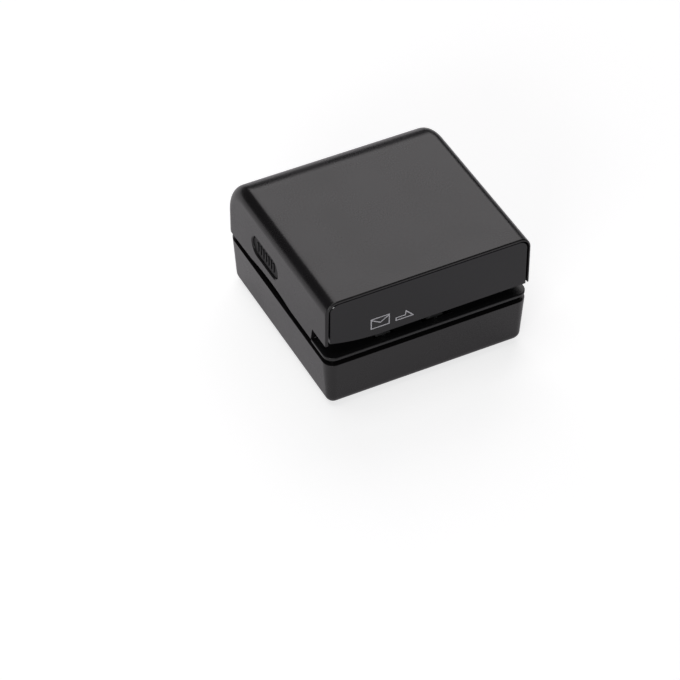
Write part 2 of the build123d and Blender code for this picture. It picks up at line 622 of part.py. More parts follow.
def screw_up(x, y, head_z, tip_z):
    """Screw driven upwards, with its head at the bottom."""
    head = rod_z(x, y, SCREW_HEAD_R, head_z, head_z + SCREW_HEAD)
    low = head_z - 1
    high = head_z + SCREW_SLOT
    half = SCREW_SLOT_HALF
    slot = block(x - SCREW_HEAD_R, x + SCREW_HEAD_R, y - half, y + half, low, high)
    cross = block(x - half, x + half, y - SCREW_HEAD_R, y + SCREW_HEAD_R, low, high)
    return head + rod_z(x, y, SCREW_R, head_z, tip_z) - slot - cross


def case_screws():
    head_z = FOOT_STANDOFF + FOOT_POCKET
    return [screw_up(x, y, head_z, DECK_UNDER_Z - 1.5) for x, y in CASE_SCREW_SPOTS]


# ---- batteries and their door ----
def cell_x(index):
    return (index - (CELL_COUNT - 1) / 2) * CELL_PITCH


def battery_cells():
    """Four cells side by side, each second one turned round."""
    cells = []
    front = BAY_FRONT_Y + CONTACT_ROOM
    back = front + CELL_LENGTH
    for index in range(CELL_COUNT):
        if index % 2:
            cell = rod_y(cell_x(index), CELL_Z, CELL_R, front + CELL_NUB, back)
            cell += rod_y(cell_x(index), CELL_Z, CELL_NUB_R, front, front + CELL_NUB)
        else:
            cell = rod_y(cell_x(index), CELL_Z, CELL_R, front, back - CELL_NUB)
            cell += rod_y(cell_x(index), CELL_Z, CELL_NUB_R, back - CELL_NUB, back)
        cells.append(cell)
    return cells


def contact_row(wall_y, inward, links, positive_on_odd):
    """Contact plates along one end of the bay, with a cone at each flat cell end."""
    plates = []
    face_y = wall_y + inward * CONTACT_THICK
    low_z = CELL_Z - CELL_R * 0.7
    high_z = CELL_Z + CELL_R * 0.8
    for first, last in links:
        x0 = cell_x(first) - CELL_R * 0.75
        x1 = cell_x(last) + CELL_R * 0.75
        plate = block(x0, x1, min(wall_y, face_y), max(wall_y, face_y), low_z, high_z)
        for index in range(first, last + 1):
            flat_end = (index % 2 == 1) != positive_on_odd
            reach = CONTACT_ROOM - CONTACT_THICK - 0.1
            radius = 3.6 if flat_end else 2.0
            ends = sorted((face_y, face_y + inward * reach))
            plate += rod_y(cell_x(index), CELL_Z, radius, ends[0], ends[1])
        plates.append(plate)
    return plates


def battery_contacts_front():
    return contact_row(BAY_FRONT_Y, 1, [(0, 0), (1, 2), (3, 3)], True)


def battery_contacts_rear():
    return contact_row(BAY_BACK_Y, -1, [(0, 1), (2, 3)], False)


def battery_door():
    """Flat door under the bay, with a rounded hinge edge, two pins and a finger notch."""
    front = BAY_FRONT_Y + DOOR_GAP
    low = FOOT_STANDOFF
    door = block(-DOOR_HALF, DOOR_HALF, front, DOOR_AXIS_Y, low, low + DOOR_THICK)
    door += rod_x(DOOR_AXIS_Y, DOOR_AXIS_Z, DOOR_THICK / 2, -DOOR_HALF, DOOR_HALF)
    door += rod_x(DOOR_AXIS_Y, DOOR_AXIS_Z, DOOR_PIN_R, -BAY_HALF - DOOR_PIN_REACH,
                  BAY_HALF + DOOR_PIN_REACH)
    door -= rod_z(0, front + 6, 7.0, low - 1, low + 0.7)
    for rib in range(4):
        y = front + 2.5 + rib * 2.4
        door += block(-5.0, 5.0, y - 0.4, y + 0.4, low + 0.2, low + 0.9)
    return door


# ---- front panel ----
def lead_in_line(x_end, z_offset):
    """Lower edge of the panel: flat, then rising in an arc to the left end."""
    flat_x = PANEL_LEFT_X + LEAD_IN_LENGTH
    z = GUIDE_Z + z_offset
    flat = Line((x_end, z), (flat_x, z))
    rise = TangentArc((flat_x, z), (PANEL_LEFT_X, z + LEAD_IN_RISE), tangent=(-1, 0))
    return flat, rise


def front_panel():
    """Front face with a guide shelf along its lower edge and two arms back to the chassis."""
    top_z = HEIGHT - PANEL_TOP_INSET
    flat, rise = lead_in_line(PANEL_RIGHT_X, 0)
    left_z = GUIDE_Z + LEAD_IN_RISE
    frame = Polyline((PANEL_LEFT_X, left_z), (PANEL_LEFT_X, top_z), (PANEL_RIGHT_X, top_z),
                     (PANEL_RIGHT_X, GUIDE_Z))
    face = make_face(flat + rise + frame)
    face = fillet(face.vertices().group_by(Axis.Y)[-1], PANEL_CORNER_RADIUS)
    panel = prism_y(face, PANEL_FRONT_Y, PANEL_BACK_Y)
    panel = chamfer(panel.faces().sort_by(Axis.Y)[0].edges(), PANEL_EDGE)
    shelf_right = COVER_SIDE_X - COVER_WALL - SIDE_CLEARANCE
    low_flat, low_rise = lead_in_line(shelf_right, 0)
    high_flat, high_rise = lead_in_line(shelf_right, GUIDE_SHELF)
    ends = Line((PANEL_LEFT_X, left_z), (PANEL_LEFT_X, left_z + GUIDE_SHELF))
    other = Line((shelf_right, GUIDE_Z), (shelf_right, GUIDE_Z + GUIDE_SHELF))
    shelf_face = make_face(low_flat + low_rise + ends + high_rise + high_flat + other)
    panel += prism_y(shelf_face, PANEL_BACK_Y - ROOT, FENCE_Y - KNIFE_SETBACK)
    for x in (FEED_X, KNIFE_X):
        back = FENCE_Y if x == KNIFE_X else ROLLER_BACK_Y + 0.6
        panel -= block(x - ROLLER_R, x + ROLLER_R, ROLLER_FRONT_Y - 0.8, back,
                       GUIDE_Z - 1, GUIDE_Z + GUIDE_SHELF + 1)
    for x in PANEL_ARM_SPOTS:
        arm = block(x - PANEL_ARM_HALF, x + PANEL_ARM_HALF, PANEL_BACK_Y - ROOT, FENCE_Y,
                    PANEL_ARM_Z - PANEL_ARM_HALF, PANEL_ARM_Z + PANEL_ARM_HALF)
        panel += arm
        panel -= cut_rod_y(x, PANEL_ARM_Z, SCREW_R, FENCE_Y - PANEL_SCREW_REACH - ROOT, FENCE_Y)
    return panel


def screw_back(x, z, head_y, tip_y):
    """Screw along Y with a slotted head at head_y and its tip at tip_y, further to the front."""
    head = rod_y(x, z, SCREW_HEAD_R, head_y, head_y + SCREW_HEAD)
    screw = head + rod_y(x, z, SCREW_R, tip_y, head_y + SCREW_HEAD)
    end = head_y + SCREW_HEAD
    return screw - block(x - SCREW_HEAD_R, x + SCREW_HEAD_R, end - SCREW_SLOT, end + 1,
                         z - SCREW_SLOT_HALF, z + SCREW_SLOT_HALF)


def panel_screws():
    return [screw_back(x, PANEL_ARM_Z, FRONT_PLATE_BACK_Y, FENCE_Y - PANEL_SCREW_REACH)
            for x in PANEL_ARM_SPOTS]


# ---- cover ----

def cover_block(inset, front_y, low_z):
    """Solid cover shape, well rounded at the top of its back and along its sides, drawn in by inset."""
    half = COVER_SIDE_X - inset
    back_y = COVER_BACK_Y - inset
    roof_z = HEIGHT - inset
    radius = COVER_BACK_TOP_RADIUS - inset
    step = radius * (1 - sqrt(0.5))
    front = Polyline((back_y, low_z), (front_y, low_z), (front_y, roof_z), (back_y - radius, roof_z))
    round_off = ThreePointArc((back_y - radius, roof_z), (back_y - step, roof_z - step),
                              (back_y, roof_z - radius))
    back = Line((back_y, roof_z - radius), (back_y, low_z))
    solid = prism_x(make_face(front + round_off + back), -half, half)
    rims = solid.faces().sort_by(Axis.X)[0].edges() + solid.faces().sort_by(Axis.X)[-1].edges()
    rims = rims.filter_by(lambda edge: edge.center().Z > low_z + 1 and edge.center().Y > front_y + 1)
    return fillet(rims, COVER_TOP_RADIUS - inset)


def below_cover(lift_z, x0, x1):
    """Everything under the cover's lower edge, on one side."""
    end = COVER_FRONT_Y + SLOT_LIFT_END
    start = COVER_FRONT_Y + SCOOP_START
    stop = COVER_FRONT_Y + SCOOP_END
    front = COVER_FRONT_Y - 2
    back = COVER_BACK_Y + 2
    middle = (start + stop) / 2
    stop_z = COVER_LOW_FRONT_Z - 0.3
    edge = Polyline((front, 0), (front, lift_z), (end, lift_z), (end + SLOT_LIFT_SLOPE, COVER_LOW_FRONT_Z),
                    (start, COVER_LOW_FRONT_Z))
    scoop = ThreePointArc((start, COVER_LOW_FRONT_Z), (middle, COVER_LOW_FRONT_Z + SCOOP_RISE),
                          (stop, stop_z))
    tail = Polyline((stop, stop_z), (back, COVER_LOW_BACK_Z), (back, 0), (front, 0))
    return prism_x(make_face(edge + scoop + tail), x0, x1)


def rim_opening():
    """Space that the panel fills in the cover's front, closer to the edge than the wall."""
    face = outline((-COVER_SIDE_X + RIM_LEFT_BOTTOM, 20), (-COVER_SIDE_X + RIM_LEFT_TOP, HEIGHT - RIM_TOP),
                   (COVER_SIDE_X - RIM_RIGHT, HEIGHT - RIM_TOP), (COVER_SIDE_X - RIM_RIGHT, 20))
    face = fillet(face.vertices().group_by(Axis.Y)[-1], PANEL_CORNER_RADIUS)
    return prism_y(face, COVER_FRONT_Y - 1, COVER_FRONT_Y + RIM_DEPTH)


def pill(length, height):
    """Long rounded shape in the (y, z) plane, centred on the button."""
    return Pos(BUTTON_Y, BUTTON_Z) * SlotOverall(length, height)


def top_cover():
    """Hinged hood: five walls, a thin front rim, half of the hinge and the button's seat."""
    hood = cover_block(0, COVER_FRONT_Y, RIM_Z)
    front_edges = hood.faces().sort_by(Axis.Y)[0].edges().sort_by(Axis.Z)[1:]
    hood = fillet(front_edges, COVER_FRONT_EDGE)
    hood -= cover_block(COVER_WALL, COVER_FRONT_Y - 1, RIM_Z - 1)
    hood -= rim_opening()
    hood += hinge_knuckles()
    for y in RETAINER_POSTS:
        hood += rod_x(y, BUTTON_Z, RETAINER_POST_R, -COVER_SIDE_X + COVER_WALL / 2, RETAINER_X)
        hood -= rod_x(y, BUTTON_Z, SCREW_R, RETAINER_X - LATCH_SCREW_REACH - ROOT, RETAINER_X + 1)
    hood -= below_cover(SLOT_LIFT_LEFT, -COVER_WIDTH, 0)
    hood -= below_cover(SLOT_LIFT_RIGHT, 0, COVER_WIDTH)
    hood -= prism_x(pill(BUTTON_LENGTH, BUTTON_HEIGHT), -COVER_WIDTH, -COVER_SIDE_X + COVER_WALL + 1)
    hood -= button_bevel()
    hood -= finger_scoop()
    return hood - hinge_notches()


def button_bevel():
    """Widening mouth of the button's opening."""
    outer = Plane((-COVER_SIDE_X - SEAT, 0, 0), x_dir=(0, 1, 0), z_dir=(1, 0, 0))
    inner = Plane((-COVER_SIDE_X + BUTTON_BEVEL, 0, 0), x_dir=(0, 1, 0), z_dir=(1, 0, 0))
    mouth = pill(BUTTON_LENGTH + 2 * BUTTON_BEVEL, BUTTON_HEIGHT + 2 * BUTTON_BEVEL)
    return loft([outer * mouth, inner * pill(BUTTON_LENGTH, BUTTON_HEIGHT)])


def finger_scoop():
    """Shallow hollow under the button, along the lower edge of the left wall."""
    centre_x = -COVER_SIDE_X - SCOOP_RADIUS + SCOOP_DEPTH
    return Pos(centre_x, BUTTON_Y, COVER_LOW_FRONT_Z - 2.0) * Torus(SCOOP_RADIUS - SCOOP_ROUND, SCOOP_ROUND)


def hinge_knuckles():
    """Moving knuckles on each side of the fixed ones."""
    knuckles = []
    for side in (-1, 1):
        middle = side * HINGE_OFFSET_X
        for hand in (-1, 1):
            near = middle + hand * (KNUCKLE_FIXED / 2 + LOOSE)
            far = near + hand * KNUCKLE_MOVING
            x0 = min(near, far)
            x1 = max(near, far)
            knuckle = rod_x(HINGE_Y, HINGE_Z, KNUCKLE_R, x0, x1)
            knuckle += block(x0, x1, HINGE_Y, COVER_BACK_Y - COVER_WALL / 2, HINGE_Z, HINGE_Z + 8)
            knuckles.append(knuckle - rod_x(HINGE_Y, HINGE_Z, HINGE_PIN_R + RUNNING, x0 - 1, x1 + 1))
    return knuckles


def hinge_notches():
    """Gaps in the cover's back wall where the fixed knuckles stand."""
    notches = []
    for side in (-1, 1):
        half = KNUCKLE_FIXED / 2 + LOOSE
        x = side * HINGE_OFFSET_X
        notches.append(block(x - half, x + half, HINGE_Y - KNUCKLE_R - 0.5, BASE_DEPTH,
                             0, HINGE_Z + KNUCKLE_R + 0.6))
    return notches


def hinge_pins():
    half = KNUCKLE_FIXED / 2 + LOOSE + KNUCKLE_MOVING
    return [rod_x(HINGE_Y, HINGE_Z, HINGE_PIN_R, side * HINGE_OFFSET_X - half,
                  side * HINGE_OFFSET_X + half) for side in (-1, 1)]


# ---- latch ----

def latch_button():
    """Pill-shaped push button with a flange, two guide stems and the hook that frees the cover."""
    cap = prism_x(pill(BUTTON_LENGTH - 2 * BUTTON_GAP, BUTTON_HEIGHT - 2 * BUTTON_GAP), BUTTON_FACE_X,
                  FLANGE_X)
    button = cap + prism_x(pill(BUTTON_LENGTH + 2, BUTTON_HEIGHT + 2), FLANGE_X, SPRING_X)
    for rib in range(-3, 4):
        y = BUTTON_Y + rib * RIB_PITCH
        button += block(BUTTON_FACE_X - RIB_RISE, BUTTON_FACE_X, y - RIB_HALF, y + RIB_HALF,
                        BUTTON_Z - BUTTON_HEIGHT / 4, BUTTON_Z + BUTTON_HEIGHT / 4)
    for y in STEM_SPOTS:
        button += rod_x(y, BUTTON_Z, STEM_R, SPRING_X, RETAINER_X + RETAINER_THICK)
    arm_x = HOOK_LIP_X + HOOK_LIP
    y0 = BUTTON_Y - HOOK_LENGTH / 2
    y1 = BUTTON_Y + HOOK_LENGTH / 2
    foot_z = DECK_TOP_Z + 0.6
    lip_top_z = CATCH_TOP_Z - CATCH_LIP_THICK - HOOK_GAP
    half = HOOK_THICK / 2
    button += block(FLANGE_X, arm_x + HOOK_THICK, y0, y1, HOOK_BRIDGE_Z - half, HOOK_BRIDGE_Z + half)
    button += block(arm_x, arm_x + HOOK_THICK, y0, y1, foot_z, HOOK_BRIDGE_Z)
    button += block(HOOK_LIP_X, arm_x, y0, y1, foot_z, lip_top_z)
    return button


def latch_retainer():
    """Bar across the back of the button that guides its stems."""
    bar = block(RETAINER_X, RETAINER_X + RETAINER_THICK, BUTTON_Y - RETAINER_HALF_LENGTH,
                BUTTON_Y + RETAINER_HALF_LENGTH, BUTTON_Z - 2.5, BUTTON_Z + RETAINER_HALF_HEIGHT)
    for y in STEM_SPOTS:
        bar -= rod_x(y, BUTTON_Z, STEM_R + RUNNING, RETAINER_X - 1, RETAINER_X + RETAINER_THICK + 1)
    for y in RETAINER_POSTS:
        bar -= rod_x(y, BUTTON_Z, SCREW_R + RUNNING, RETAINER_X - 1, RETAINER_X + RETAINER_THICK + 1)
    return bar


def latch_screws():
    screws = []
    for y in RETAINER_POSTS:
        seat = RETAINER_X + RETAINER_THICK
        screw = rod_x(y, BUTTON_Z, SCREW_R, RETAINER_X - LATCH_SCREW_REACH, seat + LATCH_HEAD)
        screws.append(screw + rod_x(y, BUTTON_Z, LATCH_HEAD_R, seat, seat + LATCH_HEAD))
    return screws


def latch_spring():
    """Coil spring between the button's flange and the retainer."""
    length = SPRING_ROOM - SPRING_WIRE
    start = Plane((SPRING_X + SPRING_WIRE / 2, BUTTON_Y, BUTTON_Z), x_dir=(0, 1, 0), z_dir=(1, 0, 0))
    path = start * Helix(length / SPRING_TURNS, length, SPRING_R)
    section = Plane(path @ 0, z_dir=path % 0) * Circle(SPRING_WIRE / 2)
    return sweep(section, path)


# ---- chassis ----

def plate_face(x0, x1):
    """Chassis plate outline: a wide plate on the deck with a tongue down to the lower shaft."""
    wide = outline((x0, DECK_TOP_Z), (x0, PLATE_TOP_Z), (x1, PLATE_TOP_Z), (x1, DECK_TOP_Z))
    wide = fillet(wide.vertices().group_by(Axis.Y)[-1], PLATE_CORNER)
    tongue = outline((KNIFE_X - TONGUE_HALF, TONGUE_LOW_Z), (KNIFE_X - TONGUE_HALF, DECK_TOP_Z + 1),
                     (KNIFE_X + TONGUE_HALF, DECK_TOP_Z + 1), (KNIFE_X + TONGUE_HALF, TONGUE_LOW_Z))
    return wide + tongue


def chassis_plate(x0, x1, y0, foot_direction):
    """Steel side plate with shaft holes and two bent feet."""
    y1 = y0 + PLATE
    plate = prism_y(plate_face(x0, x1), y0, y1)
    for x in (CHASSIS_FOOT_LEFT_X, CHASSIS_FOOT_RIGHT_X):
        root_y = y0 if foot_direction > 0 else y1
        ends = sorted((root_y, root_y + foot_direction * (PLATE + CHASSIS_FOOT_LENGTH)))
        plate += block(x - CHASSIS_FOOT_HALF, x + CHASSIS_FOOT_HALF, ends[0], ends[1],
                       DECK_TOP_Z, DECK_TOP_Z + PLATE)
    for x, y in CHASSIS_SCREW_SPOTS:
        plate -= rod_z(x, y, SCREW_R + RUNNING, DECK_TOP_Z - 1, DECK_TOP_Z + PLATE + 1)
    for x, z in SHAFT_SPOTS:
        plate -= cut_rod_y(x, z, BUSH_R + SEAT, y0, y1)
    for x, z in AXLE_SPOTS:
        plate -= cut_rod_y(x, z, AXLE_R + SEAT, y0, y1)
    return plate


def chassis_front_plate():
    """Full-width bulkhead: its face is the fence that the letter's edge runs along."""
    half = COVER_SIDE_X - COVER_WALL - PLATE_SIDE_GAP
    plate = chassis_plate(-half, half, FENCE_Y, 1)
    for x in PANEL_ARM_SPOTS:
        plate -= cut_rod_y(x, PANEL_ARM_Z, SCREW_R + RUNNING, FENCE_Y, FRONT_PLATE_BACK_Y)
    for x, z in SPACER_SPOTS:
        plate -= cut_rod_y(x, z, SPACER_SPIGOT_R + SEAT, FENCE_Y, FRONT_PLATE_BACK_Y)
    return plate - block(LEVER_X - LEVER_SLOT_HALF, LEVER_X + LEVER_SLOT_HALF, FENCE_Y - 1,
                         FRONT_PLATE_BACK_Y + 1, DECK_TOP_Z - 1, LEVER_SLOT_TOP_Z)


def chassis_rear_plate():
    """Narrower plate that carries the back ends of the shafts and the motor."""
    left = CHASSIS_FOOT_LEFT_X - CHASSIS_FOOT_HALF
    right = CHASSIS_FOOT_RIGHT_X + CHASSIS_FOOT_HALF + REAR_PLATE_MARGIN
    plate = chassis_plate(left, right, REAR_PLATE_Y, -1)
    plate -= cut_rod_y(MOTOR_X, MOTOR_Z, MOTOR_BOSS_R + 0.1, REAR_PLATE_Y, REAR_PLATE_BACK_Y)
    for x, z in MOTOR_SCREW_SPOTS + SPACER_SPOTS:
        plate -= cut_rod_y(x, z, SCREW_R + RUNNING, REAR_PLATE_Y, REAR_PLATE_BACK_Y)
    return plate


def chassis_spacers():
    """Pillars between the plates, riveted flush in the front one and tapped at the back."""
    spacers = []
    for x, z in SPACER_SPOTS:
        pillar = rod_y(x, z, SPACER_R, FRONT_PLATE_BACK_Y, REAR_PLATE_Y)
        pillar += rod_y(x, z, SPACER_SPIGOT_R, FENCE_Y, FRONT_PLATE_BACK_Y)
        spacers.append(pillar - rod_y(x, z, SCREW_R, REAR_PLATE_Y - SPACER_THREAD, REAR_PLATE_Y + 1))
    return spacers


def screw_in_front(x, z, seat_y, tip_y):
    """Screw along Y with its slotted head in front of seat_y."""
    head = rod_y(x, z, SCREW_HEAD_R, seat_y - SCREW_HEAD, seat_y)
    screw = head + rod_y(x, z, SCREW_R, seat_y - SCREW_HEAD, tip_y)
    end = seat_y - SCREW_HEAD
    return screw - block(x - SCREW_HEAD_R, x + SCREW_HEAD_R, end - 1, end + SCREW_SLOT,
                         z - SCREW_SLOT_HALF, z + SCREW_SLOT_HALF)


def spacer_screws():
    """Screws through the rear plate into the pillars."""
    return [screw_back(x, z, REAR_PLATE_BACK_Y, REAR_PLATE_Y - SPACER_THREAD + ROOT) for x, z in SPACER_SPOTS]


def chassis_screws():
    """Screws down through the plates' feet into the deck."""
    screws = []
    seat = DECK_TOP_Z + PLATE
    for x, y in CHASSIS_SCREW_SPOTS:
        screw = rod_z(x, y, SCREW_HEAD_R, seat, seat + SCREW_HEAD)
        screw += rod_z(x, y, SCREW_R, DECK_UNDER_Z - 3, seat + SCREW_HEAD)
        end = seat + SCREW_HEAD
        screws.append(screw - block(x - SCREW_HEAD_R, x + SCREW_HEAD_R, y - SCREW_SLOT_HALF,
                                    y + SCREW_SLOT_HALF, end - SCREW_SLOT, end + 1))
    return screws


def bush(x, z, plate_y0, plate_y1, flange_side):
    """Flanged sleeve bearing pressed into a plate."""
    y0 = plate_y1 if flange_side > 0 else plate_y0 - BUSH_FLANGE
    body = rod_y(x, z, BUSH_R, plate_y0, plate_y1) + rod_y(x, z, BUSH_FLANGE_R, y0, y0 + BUSH_FLANGE)
    return body - cut_rod_y(x, z, SHAFT_R + RUNNING, plate_y0 - BUSH_FLANGE, plate_y1 + BUSH_FLANGE)


def front_bushes():
    return [bush(x, z, FENCE_Y, FRONT_PLATE_BACK_Y, 1) for x, z in SHAFT_SPOTS]


def rear_bushes():
    return [bush(x, z, REAR_PLATE_Y, REAR_PLATE_BACK_Y, -1) for x, z in SHAFT_SPOTS]


# ---- shafts, rollers, knives and gears ----
def turned_shaft(x, z, y0, y1):
    """Round shaft with small chamfers at both ends."""
    shaft = rod_y(x, z, SHAFT_R, y0, y1)
    return chamfer(shaft.edges().filter_by(GeomType.CIRCLE), 0.3)


def feed_shaft():
    return turned_shaft(FEED_X, SHAFT_Z, SHAFT_FRONT_Y, SHAFT_BACK_Y)


def knife_shaft():
    return turned_shaft(KNIFE_X, SHAFT_Z, SHAFT_FRONT_Y, SHAFT_BACK_Y)


def lower_knife_shaft():
    return turned_shaft(KNIFE_X, LOWER_SHAFT_Z, KNIFE_NUT_FRONT_Y, SHAFT_BACK_Y)


def roller_tyre(x):
    """Rubber tyre with grooves round it."""
    tyre = rod_y(x, SHAFT_Z, ROLLER_R, ROLLER_FRONT_Y, ROLLER_BACK_Y)
    tyre -= cut_rod_y(x, SHAFT_Z, ROLLER_R - TYRE_THICK, ROLLER_FRONT_Y, ROLLER_BACK_Y)
    for groove in range(3):
        y = ROLLER_FRONT_Y + ROLLER_LENGTH * (groove + 1) / 4
        ring = rod_y(x, SHAFT_Z, ROLLER_R + 1, y - GROOVE / 2, y + GROOVE / 2)
        tyre -= ring - cut_rod_y(x, SHAFT_Z, ROLLER_R - GROOVE, y - GROOVE, y + GROOVE)
    return tyre


def roller_hub(x):
    """Plastic hub inside the tyre, lightened in front."""
    hub = rod_y(x, SHAFT_Z, ROLLER_R - TYRE_THICK, ROLLER_FRONT_Y, ROLLER_BACK_Y)
    recess = rod_y(x, SHAFT_Z, ROLLER_R - TYRE_THICK - 1.0, ROLLER_FRONT_Y - 1, ROLLER_FRONT_Y + 1.5)
    hub -= recess - cut_rod_y(x, SHAFT_Z, SHAFT_R + 1.2, ROLLER_FRONT_Y, ROLLER_BACK_Y)
    return hub - cut_rod_y(x, SHAFT_Z, SHAFT_R, ROLLER_FRONT_Y, ROLLER_BACK_Y)


def knife_disc(z, y0):
    """Thin round blade."""
    disc = rod_y(KNIFE_X, z, KNIFE_R, y0, y0 + KNIFE_THICK)
    return disc - cut_rod_y(KNIFE_X, z, SHAFT_R, y0, y0 + KNIFE_THICK)


def knife_collars():
    """Sleeves that hold the upper blade between the roller and the front bush."""
    collars = []
    for y0, y1, radius in ((ROLLER_BACK_Y, UPPER_KNIFE_FRONT_Y, KNIFE_COLLAR_R + 1.1),
                           (UPPER_KNIFE_BACK_Y, FENCE_Y - 0.1, KNIFE_COLLAR_R)):
        collar = rod_y(KNIFE_X, SHAFT_Z, radius, y0, y1)
        collars.append(collar - cut_rod_y(KNIFE_X, SHAFT_Z, SHAFT_R, y0, y1))
    return collars


def lower_knife_nut():
    """Hexagon nut in front of the lower blade and a washer behind it."""
    flat = Pos(KNIFE_X, LOWER_SHAFT_Z) * RegularPolygon(3.2, 6)
    nut = prism_y(flat, KNIFE_NUT_FRONT_Y, LOWER_KNIFE_FRONT_Y)
    washer = rod_y(KNIFE_X, LOWER_SHAFT_Z, KNIFE_COLLAR_R, LOWER_KNIFE_BACK_Y, FENCE_Y - 0.1)
    bore = cut_rod_y(KNIFE_X, LOWER_SHAFT_Z, SHAFT_R, KNIFE_NUT_FRONT_Y, FENCE_Y)
    return [nut - bore, washer - bore]


def shaft_gear(x, z, teeth, module, phase, y0, width, hub_length):
    """Gear fixed on a shaft, with a hub behind it."""
    gear = gear_body(teeth, module, phase, x, z, y0, y0 + width)
    gear += rod_y(x, z, SHAFT_R + GEAR_HUB, y0, y0 + width + hub_length)
    return gear - cut_rod_y(x, z, SHAFT_R, y0, y0 + width + hub_length)


def feed_gear():
    return shaft_gear(FEED_X, SHAFT_Z, FEED_TEETH, TRAIN_MODULE, FEED_PHASE, TRAIN_Y, TRAIN_WIDTH, 3)


def knife_gear():
    return shaft_gear(KNIFE_X, SHAFT_Z, FEED_TEETH, TRAIN_MODULE, KNIFE_PHASE, TRAIN_Y, TRAIN_WIDTH, 1)


def lower_knife_gear():
    return shaft_gear(KNIFE_X, LOWER_SHAFT_Z, FEED_TEETH, TRAIN_MODULE, LOWER_PHASE, TRAIN_Y,
                      TRAIN_WIDTH, 2)


def drive_gear():
    return shaft_gear(KNIFE_X, SHAFT_Z, DRIVE_TEETH, DRIVE_MODULE, DRIVE_PHASE, DRIVE_Y, DRIVE_WIDTH, 2)


def idler_gear():
    gear = gear_body(IDLER_TEETH, TRAIN_MODULE, IDLER_PHASE, IDLER_X, IDLER_Z, TRAIN_Y,
                     TRAIN_Y + TRAIN_WIDTH)
    gear += rod_y(IDLER_X, IDLER_Z, AXLE_R + GEAR_HUB, FRONT_PLATE_BACK_Y + LOOSE,
                  TRAIN_Y + TRAIN_WIDTH + 2)
    return gear - cut_rod_y(IDLER_X, IDLER_Z, AXLE_R + RUNNING, FENCE_Y, REAR_PLATE_Y)


def compound_gear():
    """Small and large wheel moulded in one."""
    small = gear_body(COMPOUND_SMALL_TEETH, DRIVE_MODULE, COMPOUND_SMALL_PHASE, COMPOUND_X, COMPOUND_Z,
                      DRIVE_Y - 0.5, LARGE_Y)
    large = gear_body(COMPOUND_LARGE_TEETH, PINION_MODULE, COMPOUND_LARGE_PHASE, COMPOUND_X,
                      COMPOUND_Z, LARGE_Y, LARGE_Y + LARGE_WIDTH)
    hub = rod_y(COMPOUND_X, COMPOUND_Z, AXLE_R + 1.0, FRONT_PLATE_BACK_Y + LOOSE, REAR_PLATE_Y - LOOSE)
    return small + large + hub - cut_rod_y(COMPOUND_X, COMPOUND_Z, AXLE_R + RUNNING, FENCE_Y, REAR_PLATE_Y)


def gear_axles():
    """Fixed axles of the idler gear and the compound gear."""
    return [rod_y(x, z, AXLE_R, FENCE_Y, REAR_PLATE_BACK_Y) for x, z in AXLE_SPOTS]


# ---- motor ----
def motor_can():
    """Flat-sided steel can with a round front boss."""
    can = Pos(MOTOR_X, MOTOR_Z) * Circle(MOTOR_WIDTH / 2)
    can &= Pos(MOTOR_X, MOTOR_Z) * Rectangle(MOTOR_WIDTH, MOTOR_HEIGHT)
    body = prism_y(can, REAR_PLATE_BACK_Y, REAR_PLATE_BACK_Y + MOTOR_LENGTH - MOTOR_CAP)
    body += rod_y(MOTOR_X, MOTOR_Z, MOTOR_BOSS_R, REAR_PLATE_Y, REAR_PLATE_BACK_Y)
    for x, z in MOTOR_SCREW_SPOTS:
        body -= rod_y(x, z, SCREW_R, REAR_PLATE_BACK_Y - 1, REAR_PLATE_BACK_Y + 3)
    return body - cut_rod_y(MOTOR_X, MOTOR_Z, MOTOR_SHAFT_R + RUNNING, REAR_PLATE_Y,
                            REAR_PLATE_BACK_Y + MOTOR_LENGTH)


def motor_end_cap():
    """Plastic brush cap with a small bearing boss."""
    face = Pos(MOTOR_X, MOTOR_Z) * Circle(MOTOR_WIDTH / 2 - 0.4)
    face &= Pos(MOTOR_X, MOTOR_Z) * Rectangle(MOTOR_WIDTH, MOTOR_HEIGHT - 0.8)
    cap = prism_y(face, MOTOR_END_Y - MOTOR_CAP, MOTOR_END_Y)
    cap += rod_y(MOTOR_X, MOTOR_Z, CAP_BOSS_R, MOTOR_END_Y, MOTOR_END_Y + CAP_BOSS)
    return cap - rod_y(MOTOR_X, MOTOR_Z, MOTOR_SHAFT_R + RUNNING, MOTOR_END_Y - MOTOR_CAP - 1,
                       MOTOR_END_Y + 0.5)


def motor_terminals():
    tabs = []
    for side in (-1, 1):
        x = MOTOR_X + side * TERMINAL_OFFSET
        tabs.append(block(x - TERMINAL_HALF, x + TERMINAL_HALF, MOTOR_END_Y, MOTOR_END_Y + TERMINAL_LENGTH,
                          MOTOR_Z - TERMINAL_THICK / 2, MOTOR_Z + TERMINAL_THICK / 2))
    return tabs


def motor_shaft():
    return rod_y(MOTOR_X, MOTOR_Z, MOTOR_SHAFT_R, LARGE_Y - 0.5, MOTOR_END_Y)


def motor_pinion():
    pinion = gear_body(PINION_TEETH, PINION_MODULE, PINION_PHASE, MOTOR_X, MOTOR_Z, LARGE_Y - 0.5,
                       LARGE_Y + LARGE_WIDTH + 0.5)
    return pinion - cut_rod_y(MOTOR_X, MOTOR_Z, MOTOR_SHAFT_R, LARGE_Y, LARGE_Y + LARGE_WIDTH)


def motor_screws():
    return [screw_in_front(x, z, REAR_PLATE_Y, REAR_PLATE_BACK_Y + 2) for x, z in MOTOR_SCREW_SPOTS]


